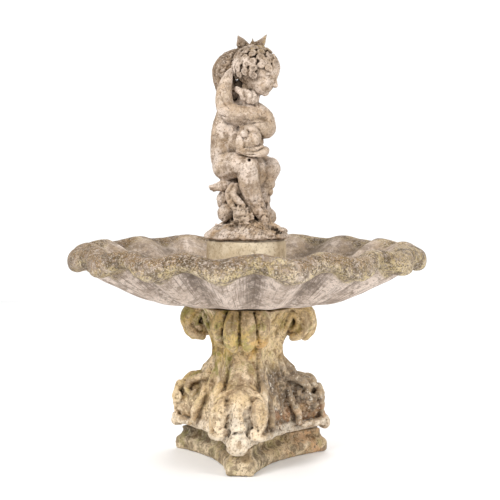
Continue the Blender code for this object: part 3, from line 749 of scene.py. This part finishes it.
# a place that runs slowly outwards and fast round, so that a pattern on it lies in radial streaks
sweep = bowl.data.attributes.new("sweep", "FLOAT_VECTOR", "POINT")
round_axis = np.stack([np.sin(turn), np.cos(turn), reach * 0.07], axis=1).astype(np.float32)
sweep.data.foreach_set("vector", round_axis.ravel())
on_rim *= np.where(under, ramp(reach, 0.494, 0.506), 1)
left_side = ramp(-np.degrees(turn), 10, 70)
right_side = ramp(np.degrees(turn), 15, 60)
rim_top = ramp(normals[:, 2], -0.45, 0.35) * (1 - 0.45 * right_side) + 0.60 * left_side
# painted shade: darkens the valleys between the lobes on the underside
valley_shade = under * (1 - ramp(wave, -0.98, 0.25)) * ramp(reach, 0.16, 0.30)
mark(bowl, "rim", on_rim)
mark(bowl, "underside", under * (1 - on_rim))
mark(bowl, "rim_top", on_rim * np.clip(rim_top, 0, 1))
mark(bowl, "valley_shade", valley_shade * (1 - 0.9 * on_rim))
mark(bowl, "inside", (1 - on_rim) * (normals[:, 2] > 0.05))
BOWL_TONES = [(0.71, 0.60, 0.52), (0.56, 0.455, 0.38), (0.26, 0.20, 0.155), (0.05, 0.033, 0.021)]
bowl_stone = stone(
    "bowl_stone", BOWL_TONES,
    [
        # painted shade in the underside's valleys, in patches
        ((0.22, 0.175, 0.14), "valley_shade", 0.80, blotches(60, 31, 0.42, 0.56)),
        ((0.31, 0.225, 0.14), "inside", 0.82, blotches(9, 33, 0.28, 0.54)),
        ((0.14, 0.10, 0.065), "inside", 0.65, blotches(26, 34, 0.48, 0.62)),
        ((0.50, 0.395, 0.19), "rim", 0.88, blotches(7, 35, 0.26, 0.52)),
        ((0.19, 0.112, 0.048), "rim_top", 0.95, blotches(12, 37, 0.28, 0.48)),
        ((0.16, 0.11, 0.055), "rim", 0.70, blotches(44, 43, 0.50, 0.62)),
        ((0.085, 0.055, 0.028), "rim", 0.85, blotches(26, 45, 0.50, 0.59)),
        ((0.065, 0.043, 0.025), "rim", 0.85, blotches(170, 39, 0.51, 0.58)),
        ((0.84, 0.78, 0.64), "rim", 0.50, blotches(230, 41, 0.57, 0.63)),
    ],
    seed=9.0, dirt_and_shade=0.85, grain=(0.5, 0.4, 0.45), depth=0.0026, contrast=1.15, wear=0.15,
)
# the drag of the mould's sweep: fine streaks of colour on the underside
bowl_tree = bowl_stone.node_tree
base_colour = bowl_tree.nodes["Principled BSDF"].inputs["Base Color"]
swept = add(bowl_tree, "Attribute", attribute_name="sweep").outputs["Vector"]
streaks = add(bowl_tree, "TexNoise", {"Vector": swept, "Scale": 85.0, "Detail": 6.0, "Roughness": 0.75})
lines = add(
    bowl_tree, "MapRange", {"Value": streaks.outputs["Fac"], "From Min": 0.52, "From Max": 0.60},
    interpolation_type="SMOOTHSTEP",
)
line_share = reckon(bowl_tree, "MULTIPLY", lines.outputs[0], region(bowl_tree, "underside"))
line_share = reckon(bowl_tree, "MULTIPLY", line_share, 0.75)
streaked = mix(bowl_tree, line_share, base_colour.links[0].from_socket, (0.185, 0.14, 0.11))
bowl_tree.links.new(streaked, base_colour)
finish(bowl, bowl_stone, "bowl")

# Drum: the short round block that lifts the figure clear of the water, cast in stone, laid in mortar.
drum_low, drum_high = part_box("drum")
DRUM_FOOT, DRUM_TOP = drum_low[2], drum_high[2]
DRUM_RADIUS = drum_high[0] - 0.002
DRUM_BORE = 0.051
DRUM_OUTLINE = [
    (DRUM_BORE, DRUM_FOOT), (DRUM_RADIUS, DRUM_FOOT), (DRUM_RADIUS + 0.001, DRUM_FOOT + 0.008),
    (DRUM_RADIUS, DRUM_FOOT + 0.020), (DRUM_RADIUS - 0.001, DRUM_FOOT + 0.050),
    (DRUM_RADIUS - 0.001, DRUM_TOP - 0.060), (DRUM_RADIUS - 0.001, DRUM_TOP - 0.030),
    (DRUM_RADIUS - 0.002, DRUM_TOP - 0.010), (DRUM_RADIUS - 0.006, DRUM_TOP), (DRUM_BORE, DRUM_TOP),
]

# specks: small round spots of lichen or grit
specks, given, put = shader_group("specks", "Mask", Scale=120.0, Seed=0.0, Size=0.3, Gather=0.5)
where = add(specks, "TexCoord")
shift = add(specks, "VectorMath", {0: where.outputs["Object"], 1: given.outputs["Seed"]}, operation="ADD")
wobble = add(specks, "TexNoise", {"Vector": shift.outputs[0], "Scale": 180.0, "Detail": 2.0})
wander = add(
    specks, "VectorMath", {0: wobble.outputs["Color"], 1: (0.006, 0.006, 0.006)}, operation="MULTIPLY"
)
bent = add(specks, "VectorMath", {0: shift.outputs[0], 1: wander.outputs[0]}, operation="ADD")
cells = add(specks, "TexVoronoi", {"Vector": bent.outputs[0], "Scale": given.outputs["Scale"]})
crowd = add(specks, "TexNoise", {"Vector": shift.outputs[0], "Scale": 16.0, "Detail": 4.0})
reach = add(
    specks, "MapRange", {"Value": crowd.outputs["Fac"], "From Min": given.outputs["Gather"], "From Max": 0.75}
)
size = reckon(specks, "MULTIPLY", reach.outputs[0], given.outputs["Size"])
edge = add(
    specks, "MapRange",
    {"Value": cells.outputs["Distance"], "From Min": size, "From Max": 0.0, "To Min": 0.0, "To Max": 2.5},
)
specks.links.new(reckon(specks, "MINIMUM", edge.outputs[0], 1.0, clamp=False), put.inputs["Mask"])

drum = cast("drum_casting", clay(turned(DRUM_OUTLINE, 96)), grain=0.0036, soften=2)
erode(drum, coarse=0.0010, fine=0.0007, seed=7.0)
places, normals = skin(drum)
places[:, 2] = np.clip(places[:, 2], DRUM_FOOT, DRUM_TOP)
reshape(drum, places)
relief(drum)
mark(drum, "stain", ramp(-np.degrees(polar(places)[1]), 25, 80) * 0.9 + 0.2)
mark(drum, "wet", 1 - ramp(places[:, 2], 0.60, 0.66))
DRUM_TONES = [(0.70, 0.60, 0.44), (0.56, 0.45, 0.30), (0.30, 0.22, 0.13), (0.10, 0.07, 0.04)]
drum_stone = stone(
    "drum_stone", DRUM_TONES,
    [
        ((0.30, 0.215, 0.12), "stain", 0.85, blotches(12, 51, 0.36, 0.58)),
        ((0.24, 0.19, 0.12), "wet", 0.60, blotches(20, 53, 0.36, 0.58)),
        ((0.08, 0.06, 0.04), None, 0.6, (specks, {"Scale": 160, "Seed": 55, "Size": 0.4, "Gather": 0.45})),
    ],
    seed=11.0, dirt_and_shade=0.7, grain=(0.5, 0.4, 0.4),
)
finish(drum, drum_stone, "drum")

# Figure group: one casting in stone. A chubby boy sits on shells and rocks and holds a big fish that
# comes down behind his back and rests its head in his lap; its tail stands up above his curls.
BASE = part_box("figure")[0][2]
MOUND = [
    (0.030, BASE), (0.130, BASE), (0.1385, BASE + 0.003), (0.1400, BASE + 0.009), (0.134, BASE + 0.019),
    (0.118, BASE + 0.030), (0.099, BASE + 0.041), (0.081, BASE + 0.053), (0.062, BASE + 0.065),
    (0.030, BASE + 0.078),
]
# Rocks, masses of the boy and of the fish in millimetres: centre, radii, and tilt about Y in degrees
ROCKS = [
    ((-18, 20, 800), (66, 72, 58), 0), ((-28, 24, 862), (48, 54, 52), 0), ((-12, 22, 915), (40, 50, 34), 0),
    ((-66, -40, 797), (29, 28, 31), 8), ((-82, -12, 838), (12, 22, 25), 15),
    ((-64, -34, 848), (9, 18, 28), 28), ((-56, 10, 860), (18, 30, 26), 0),
    ((-20, -46, 852), (24, 20, 42), -14), ((-2, -50, 798), (30, 26, 30), 20),
    ((48, 4, 868), (25, 34, 34), 0), ((83, -6, 888), (10, 16, 14), 20), ((75, -10, 866), (12, 16, 14), -20),
    ((58, -10, 838), (20, 30, 26), 10), ((60, 0, 800), (26, 36, 28), -15), ((54, 14, 786), (40, 46, 34), 0),
    ((20, 78, 800), (40, 34, 50), 0), ((-50, 74, 795), (38, 34, 42), 20), ((70, 60, 780), (30, 30, 30), 0),
    ((-10, 70, 870), (45, 30, 50), 0), ((100, -20, 744), (26, 30, 13), 18),
    ((-96, 20, 744), (26, 34, 14), -20), ((-98, -50, 738), (22, 26, 11), -14),
    ((-60, -96, 736), (30, 18, 10), -8), ((60, -100, 734), (34, 18, 10), 10),
    ((118, 34, 736), (18, 26, 12), 12), ((30, 118, 742), (36, 18, 14), 0),
    ((-70, 104, 740), (30, 20, 14), 0), ((40, 40, 900), (30, 34, 50), 0),
]
BOY_MASSES = [
    ((-66, -20, 948), (46, 46, 46), 0), ((-64, 48, 950), (48, 44, 47), 0),
    ((-36, -6, 1030), (36, 48, 50), 0), ((30, 10, 1116), (42, 50, 40), 0),
    ((80, -10, 941), (30, 36, 37), 0), ((6, -70, 950), (34, 35, 34), 0), ((-60, 8, 1112), (41, 46, 40), 0),
    ((34, -30, 930), (30, 30, 50), 0),
]
# Rolls in millimetres: to the right, to the back, height, radius
BOY_ROLLS = [
    # trunk from seat to far shoulder
    [(-62, 16, 946, 48), (-67, 15, 985, 53), (-65, 14, 1018, 55.5), (-60, 14, 1055, 58),
     (-48, 13, 1092, 58), (-16, 12, 1116, 52), (24, 10, 1120, 40)],
    # near thigh, near shin and foot
    [(-56, -28, 950, 46), (-26, -52, 953, 42), (4, -70, 949, 34)],
    [(6, -70, 950, 34), (7, -69, 905, 35), (18, -62, 858, 32), (37, -56, 815, 26), (57, -52, 784, 22),
     (68, -50, 766, 20)],
    [(62, -48, 762, 19), (86, -56, 755, 16), (108, -66, 746, 11)],
    # far thigh and shin, the shin tucked in behind the near one
    [(-50, 44, 952, 48), (10, 34, 958, 43), (52, 10, 950, 37), (78, -6, 941, 34)],
    [(78, -6, 932, 30), (64, -8, 898, 27), (50, -8, 862, 27), (46, -4, 820, 26)],
    # tucked foot
    [(-46, -14, 890, 22), (-74, -26, 885, 20), (-100, -32, 881, 14)],
    # neck
    [(-6, 8, 1130, 40), (8, 4, 1170, 34), (18, 2, 1205, 34)],
    # raised near arm: shoulder, elbow, wrist
    [(12, -24, 1112, 34), (-28, -46, 1112, 34), (-64, -56, 1132, 32), (-73, -52, 1175, 27.5),
     (-67, -42, 1214, 22), (-57, -30, 1244, 15), (-50, -20, 1258, 10)],
    # far arm: shoulder, elbow, forearm, hand on the fish
    [(28, 26, 1122, 40), (54, 10, 1100, 38), (63, -8, 1070, 33), (40, -30, 1072, 30), (14, -44, 1074, 24),
     (-6, -50, 1070, 18)],
]
FISH = [
    (14, 28, 1322, 20), (-22, 26, 1310, 27), (-56, 22, 1290, 36), (-74, 24, 1258, 40), (-68, 32, 1212, 37),
    (-48, 44, 1170, 36), (-34, 70, 1110, 40), (0, 76, 1060, 40), (20, 56, 1038, 36), (22, 10, 1030, 34),
    (16, -34, 1028, 36), (8, -58, 1028, 40),
]
FISH_MASSES = [
    ((8, -66, 1034), (41, 38, 49), 0), ((-6, -100, 1052), (13, 10, 13), 0),
    ((28, -92, 1030), (16, 12, 17), 0), ((-20, -86, 1022), (16, 18, 30), 0),
    ((14, -92, 1066), (24, 13, 11), 15), ((4, -78, 998), (40, 26, 14), 0),
    ((-30, 34, 1186), (34, 30, 46), 0),
]
FISH_ROLLS = [
    [(-24, -84, 996, 6), (6, -104, 987, 7), (36, -100, 986, 10), (56, -84, 993, 14), (61, -68, 1000, 13)],
    [(30, -96, 1004, 6), (50, -80, 1010, 8)],
]
FINGERS = [
    [(-32, -26, 1198, 10), (-18, -42, 1188, 11), (-10, -40, 1168, 10)],
    [(-8, -32, 1194, 10), (6, -46, 1180, 12), (8, -40, 1160, 10)],
    [(14, -28, 1190, 9), (23, -40, 1176, 10), (20, -36, 1158, 9)],
    # toes of the tucked foot and of the near foot
    [(-100, -40, 884, 7), (-116, -42, 882, 6.5)],
    [(-100, -30, 880, 7), (-113, -32, 876, 6.5)],
    [(-96, -22, 876, 7), (-106, -22, 870, 6)],
    [(106, -74, 746, 8), (116, -78, 742, 7)],
    [(108, -64, 746, 7), (118, -66, 742, 6)],
]
SHELL_ROLLS = [
    [(-46, -48, 888, 9), (-60, -56, 862, 10), (-52, -66, 832, 11), (-36, -76, 806, 10), (-36, -82, 774, 7)],
    [(-32, -52, 888, 8), (-42, -66, 858, 12), (-26, -74, 836, 13), (-10, -76, 824, 8)],
    [(-52, -50, 880, 6), (-50, -66, 852, 7), (-40, -74, 820, 7)],
    [(-76, -4, 866, 8), (-88, -12, 846, 10), (-86, -18, 824, 8)],
    [(-70, -20, 870, 6), (-76, -34, 850, 8), (-72, -40, 828, 7)],
    [(60, -30, 846, 6), (70, -28, 824, 8), (66, -26, 800, 8)],
]
# Lobes of the tail in millimetres: to the right, height
TAIL = [
    [(-29, 1378), (-10, 1366), (6.5, 1353), (10, 1334), (10, 1314), (-24, 1314), (-33, 1348)],
    [(66.5, 1381), (44, 1364), (28, 1357), (12, 1349), (10, 1314), (47, 1312), (61, 1350)],
    [(20, 1368), (11, 1348), (16, 1330), (26, 1332), (28, 1350)],
]
TAIL_FRONT, TAIL_THICK = 0.018, 0.017
HEAD_AT = Vector((0.036, -0.006, 1.255))
HEAD_FORWARD = Vector((0.87, -0.26, -0.44)).normalized()
HEAD_SIZE = 1.16
# The head in its own axes, in millimetres: forwards, to its left, up; then radii. The cheek rolls, and
# the masses whose second number is above 0, are there on both sides.
HEAD_MASSES = [
    ((-10, 0, 8), (62, 55, 56)), ((14, 0, -14), (46, 43, 48)), ((34, 19, -19), (21, 19, 20)),
    ((43, 0, -42), (13, 14, 12)), ((26, 0, 18), (32, 38, 30)), ((44, 16, 1), (9, 10, 8)),
    ((-6, 52, -8), (10, 6, 15)),
]
HEAD_ROLLS = [
    [(52, 0, 8, 4.8), (59, 0, -4, 5.8), (63, 0, -12, 8)],
    [(58, 6, -14, 4.8), (58, -6, -14, 4.8)],
    [(48, 12, -26, 3.4), (55, 0, -24.5, 4.6), (48, -12, -26, 3.4)],
    [(47, 9, -32, 3.4), (53, 0, -32, 4.8), (47, -9, -32, 3.4)],
]
CHEEK_ROLLS = [
    [(52, 6, 12, 4.4), (50, 17, 15, 4.8), (40, 30, 10, 4.4)],
    [(50, 8, 4, 2.4), (53.5, 16, 7.5, 2.8), (47, 25, 2, 2.4)],
    [(50, 8, -3, 2.2), (52.5, 16, -6, 2.4), (47, 25, -3, 2.2)],
]
# Curls in rings over the crown, the brow, the sides and the nape: lift of the ring, count, first, and
# the angle to each side of the brow that stays bare
CURL_RINGS = [
    (0.97, 3, 0.3, 0.0), (0.80, 9, 0.0, 0.0), (0.56, 13, 0.25, 0.0), (0.28, 16, 0.0, 0.62),
    (0.0, 17, 0.3, 1.05), (-0.28, 15, 0.0, 1.20), (-0.55, 12, 0.3, 1.60), (-0.78, 8, 0.3, 2.2),
]
SKULL_AT = Vector((-0.010, 0, 0.008))
SKULL_RADII = Vector((0.066, 0.060, 0.060))

# soft masses of the boy first, so that limbs and trunk flow together
boy_form = bmesh.new()
for centre, radii, tilt in BOY_MASSES:
    pat(boy_form, metres(centre), metres(radii), math.radians(tilt))
boy = cast("boy", clay(boy_form, [roll(stations) for stations in metres(BOY_ROLLS)]), grain=0.0032, soften=9)

left = Vector((0, 0, 1)).cross(HEAD_FORWARD).normalized()
head_axes = Matrix((HEAD_FORWARD, left, HEAD_FORWARD.cross(left))).transposed()
head_form = bmesh.new()
for (forwards, side, up), radii in metres(HEAD_MASSES):
    for flank in flanks(side):
        pat(head_form, (forwards, flank, up), radii)
head_rolls = [roll(stations) for stations in metres(HEAD_ROLLS) + both_sides(metres(CHEEK_ROLLS))]
for lift, count, first, bare in CURL_RINGS:
    for index in range(count):
        around = math.tau * (index + first) / count
        if abs((around + math.pi) % math.tau - math.pi) < bare:
            continue
        flat = math.sqrt(max(1 - lift * lift, 0.05))
        out = Vector((flat * math.cos(around), flat * math.sin(around), lift))
        centre = SKULL_AT + out * SKULL_RADII
        across = out.cross(Vector((0.2, 0.1, 1))).normalized()
        up = across.cross(out).normalized()
        curl = spiral(
            centre, across, up, start_radius=0.0108, end_radius=0.002, turns=1.2 if index % 2 else -1.2,
            thick=0.0046, thin=0.0040, start_turn=index * 2.3 + lift * 9,
        )
        head_rolls.append(curl)
head_mesh = clay(head_form, head_rolls)
head_mesh.transform(Matrix.Translation(HEAD_AT) @ head_axes.to_4x4() @ Matrix.Scale(HEAD_SIZE, 4))

figure_form = turned(MOUND, 72)
figure_form.from_mesh(boy.data)
bpy.data.objects.remove(boy)
figure_form.from_mesh(head_mesh)
bpy.data.meshes.remove(head_mesh)
for centre, radii, tilt in ROCKS + FISH_MASSES:
    pat(figure_form, metres(centre), metres(radii), math.radians(tilt))
for outline in metres(TAIL):
    face = figure_form.faces.new([figure_form.verts.new((x, TAIL_FRONT, z)) for x, z in outline])
    swept = bmesh.ops.extrude_face_region(figure_form, geom=[face])["geom"]
    moved = [part for part in swept if isinstance(part, bmesh.types.BMVert)]
    bmesh.ops.translate(figure_form, vec=(0, TAIL_THICK, 0), verts=moved)
    lobe = list({face for vert in moved for face in vert.link_faces} | {face})
    bmesh.ops.recalc_face_normals(figure_form, faces=lobe)
figure_rolls = [roll(stations) for stations in metres([FISH, *FISH_ROLLS, *FINGERS, *SHELL_ROLLS])]
# ribs of the scallop shell beside the shin, and the angles of the grooves between them
SHELL_APEX = Vector((-0.034, -0.082, 0.767))
RIB_ANGLES = [12 + rib * 10 for rib in range(8)]
GROOVE_ANGLES = [angle + 5 for angle in RIB_ANGLES[:-1]]
# Along a groove: distance from the apex, shift to the back
GROOVE = [(0.016, 0.0), (0.034, -0.004), (0.056, 0.006)]


def fan(angle):
    """The way a rib of the scallop shell runs, at that angle in degrees above the right."""
    return Vector((math.cos(math.radians(angle)), 0, math.sin(math.radians(angle))))


for angle in RIB_ANGLES:
    middle = SHELL_APEX + fan(angle) * 0.030 + Vector((0, -0.006, 0))
    end = SHELL_APEX + fan(angle) * 0.058 + Vector((0, 0.006, 0))
    figure_rolls.append(roll([(*SHELL_APEX, 0.0022), (*middle, 0.0036), (*end, 0.0046)], 4))
# layered edges of the flat shells that lie round the mound
for layer in range(15):
    around = layer * 2.4
    out = 0.082 + 0.044 * ((layer * 0.618) % 1)
    height = BASE + 0.0530 - (out - 0.082) * 0.72
    ends = [towards(around + swing, out, height - 0.003) for swing in (-0.20, 0.22)]
    middle = towards(around, out + 0.007, height)
    figure_rolls.append(roll([(*ends[0], 0.0028), (*middle, 0.0042), (*ends[1], 0.0028)], 4))
figure = cast("figure_casting", clay(figure_form, figure_rolls), grain=0.0020, soften=1)

# Creases of the skin, the spine and the line of the fish's mouth, worked in last. In millimetres: the
# line, its width and its depth
CREASES = [
    ([(-122, -20, 985), (-100, -50, 997), (-70, -58, 1002), (-36, -56, 998)], 4, 7),
    ([(-92, -56, 1122), (-60, -82, 1094), (-30, -78, 1080), (-12, -70, 1072)], 3.5, 7),
    ([(-86, -74, 1185), (-72, -82, 1150), (-48, -88, 1126)], 3, 3),
    ([(-34, -60, 1076), (-40, -58, 1040), (-34, -64, 1000)], 4.5, 7),
    ([(10, -66, 1088), (36, -56, 1092), (84, -30, 1096)], 3, 5),
    ([(-122, 14, 990), (-119, 16, 1040), (-102, 16, 1100)], 6, 3),
    ([(-22, -100, 986), (20, -112, 985), (60, -86, 988)], 2.5, 5),
    ([(30, -100, 975), (40, -80, 950), (42, -70, 915)], 4, 6),
]
for stations, width, depth in metres(CREASES):
    score(figure, stations, width, depth)
for angle in GROOVE_ANGLES:
    apex = SHELL_APEX + Vector((0, -0.010, 0))
    cut = [tuple(apex + fan(angle) * along + Vector((0, back, 0))) for along, back in GROOVE]
    score(figure, cut, width=0.0026, depth=0.0060)
# the jet's mouth, a drilled hole
MOUTH_X, MOUTH_Z, MOUTH_RADIUS, MOUTH_DEPTH = 0.0085, 0.968, 0.0046, 0.020
places, normals = skin(figure)
off_mouth = (places[:, 0] - MOUTH_X) ** 2 + (places[:, 2] - MOUTH_Z) ** 2
drill = np.exp(-((off_mouth / MOUTH_RADIUS**2) ** 2)) * (places[:, 1] < -0.080)
places[:, 1] += MOUTH_DEPTH * drill
reshape(figure, places)
on_fish = 1 - ramp(near(places, metres(FISH)), 0.036, 0.046)
on_head = 1 - ramp(np.linalg.norm(places - np.array(HEAD_AT), axis=1), 0.070, 0.085)
facing = (places - np.array(HEAD_AT)) @ np.array(HEAD_FORWARD)
face_side = ramp(facing, 0.010, 0.040) * on_head
on_curls = on_head * (1 - face_side)
on_rocks = 1 - ramp(places[:, 2], 0.780, 0.90)
weathered = np.clip(0.50 + 0.6 * on_fish + 0.35 * on_rocks + 0.3 * on_curls, 0, 1.2)
weathered *= 1 - 0.8 * face_side
erode(figure, coarse=0.0016, fine=0.0011, seed=9.0, coarse_scale=42.0, fine_scale=115.0, where=weathered)
# rock breaks up into crags, the fish into scales, and weed lies over the mound in strands
places, normals = skin(figure)
reach, around = polar(places)
bend = around + 6.0 * reach
combed = np.stack([np.sin(bend) * 0.13, np.cos(bend) * 0.13, reach * 0.32 + places[:, 2] * 0.20], axis=1)
on_mound = 1 - ramp(places[:, 2], BASE + 0.052, BASE + 0.070)
strands = np.clip(0.34 - np.abs(rough(combed, 70.0, 37.0, 2)), 0, 1)
crags = np.clip(0.40 - np.abs(rough(places, 26.0, 31.0, 2)), 0, 1)
scales = np.clip(0.34 - np.abs(rough(places, 60.0, 33.0, 2)), 0, 1)
cut = 0.0080 * crags * on_rocks * (1 - on_mound)
cut += (0.0050 * strands + 0.0060 * crags) * on_mound
cut += 0.0060 * scales * np.clip(on_fish + 0.8 * on_curls, 0, 1)
reshape(figure, places - normals * cut[:, None])
places, normals = skin(figure)
places[:, 2] = np.maximum(places[:, 2], BASE)
reshape(figure, places)
relief(figure, gain=2.9)
height = places[:, 2]
brown = 0.06 + on_fish * (0.5 + 0.5 * ramp(height, 1.20, 1.27)) + ramp(height, 1.285, 1.32) + 0.6 * on_curls
mark(figure, "brown", np.clip(brown, 0, 1))
mark(figure, "ochre", np.clip(0.45 + 0.5 * on_fish + 0.4 * on_rocks, 0, 1))
# painted shade: marks the inside of the jet's mouth
mark(figure, "hole_shade", drill)
mark(figure, "yellow", ramp(height, 1.30, 1.34) * ramp(places[:, 0], 0.0, 0.03))
FIGURE_TONES = [(0.72, 0.60, 0.505), (0.49, 0.375, 0.27), (0.20, 0.135, 0.08), (0.030, 0.018, 0.010)]
figure_stone = stone(
    "figure_stone", FIGURE_TONES,
    [
        ((0.40, 0.25, 0.12), "ochre", 0.75, blotches(20, 61, 0.47, 0.60)),
        ((0.25, 0.16, 0.085), "brown", 0.78, blotches(9, 64, 0.10, 0.34)),
        ((0.115, 0.072, 0.038), "brown", 0.88, blotches(26, 63, 0.33, 0.52)),
        ((0.30, 0.19, 0.04), "yellow", 0.80, blotches(40, 67, 0.44, 0.58)),
        ((0.10, 0.07, 0.045), "ochre", 0.70, blotches(75, 65, 0.53, 0.61)),
        # painted shade: the inside of the jet's mouth painted near-black
        ((0.004, 0.003, 0.003), "hole_shade", 1.0, blotches(5, 1, -1.0, 0.0)),
    ],
    seed=13.0, dirt_and_shade=1.0, grain=(0.6, 0.5, 0.5), depth=0.0024, contrast=1.25,
)
finish(figure, figure_stone, "figure")

# Water and waste: copper pipe in at the back of the plinth and up the hollow core, brass fittings, a
# copper riser to the jet, and the bowl's brass drain with its rubber stopper.
copper = metal(
    "dull_copper", (0.46, 0.24, 0.15), roughness=0.40, tarnish=(0.16, 0.10, 0.07), tarnish_share=0.7
)
brass = metal(
    "dull_brass", (0.50, 0.38, 0.18), roughness=0.36, tarnish=(0.20, 0.17, 0.09), tarnish_share=0.7
)
rubber, rubber_tree, rubber_shader = new_material("black_rubber")
bloom = place_group(rubber_tree, *blotches(120, 3, 0.42, 0.66))
bloomed = mix(rubber_tree, bloom, (0.022, 0.021, 0.020), (0.060, 0.056, 0.050))
rubber_tree.links.new(bloomed, rubber_shader.inputs["Base Color"])
rubber_shader.inputs["Roughness"].default_value = 0.7
give(copper, "supply_pipe", "figure_riser", "jet_tube")
give(brass, "inlet_union", "tank_connector", "connector_backnut", "drain_waste", "drain_backnut")
give(rubber, "connector_washer", "drain_washer", "drain_stopper")

# Ground, light and camera: a pale floor, a bright even sky and three soft lamps.
FLOOR_HALF = 4.6
floor_form = bmesh.new()
bmesh.ops.create_grid(floor_form, x_segments=1, y_segments=1, size=FLOOR_HALF)
floor = stand("floor", clay(floor_form))
pale, _, pale_shader = new_material("pale_floor")
pale_shader.inputs["Base Color"].default_value = (0.93, 0.93, 0.93, 1)
pale_shader.inputs["Roughness"].default_value = 0.9
floor.data.materials.append(pale)
# a hair below the ground, so that floor and plinth don't share a face
floor.location.z = -0.0005

sky = bpy.data.worlds.new("studio")
sky.use_nodes = True
background = sky.node_tree.nodes["Background"]
background.inputs["Color"].default_value = (1, 1, 1, 1)
# a white backdrop to look at, and a softer sky to light by
seen = add(sky.node_tree, "LightPath")
strength = add(
    sky.node_tree, "MapRange", {"Value": seen.outputs["Is Camera Ray"], "To Min": 0.62, "To Max": 1.1}
)
sky.node_tree.links.new(strength.outputs[0], background.inputs["Strength"])
bpy.context.scene.world = sky
# What the lamps point at: the middle of the fountain
AIM = Vector((0, 0, 0.7))
for name, place, size, power in (
    ("left_lamp", (-2.6, -3.4, 3.4), 1.5, 195), ("right_lamp", (3.2, -2.6, 2.0), 2.2, 85),
    ("back_lamp", (0.5, 3.4, 4.2), 3.0, 170),
):
    lamp = bpy.data.lights.new(name, "AREA")
    lamp.size = size
    lamp.energy = power
    holder = stand(name, lamp)
    holder.location = place
    holder.rotation_euler = (AIM - Vector(place)).to_track_quat("-Z", "Y").to_euler()

lens = bpy.data.cameras.new("camera")
lens.sensor_width = 36
lens.lens = 89.06
lens.shift_y = -0.1296
camera = stand("camera", lens)
camera.location = (0, -4.03, 0.957)
camera.rotation_euler = (math.radians(90 - 1.0), 0, math.radians(-0.16))
bpy.context.scene.camera = camera
bpy.context.scene.view_settings.view_transform = "Standard"
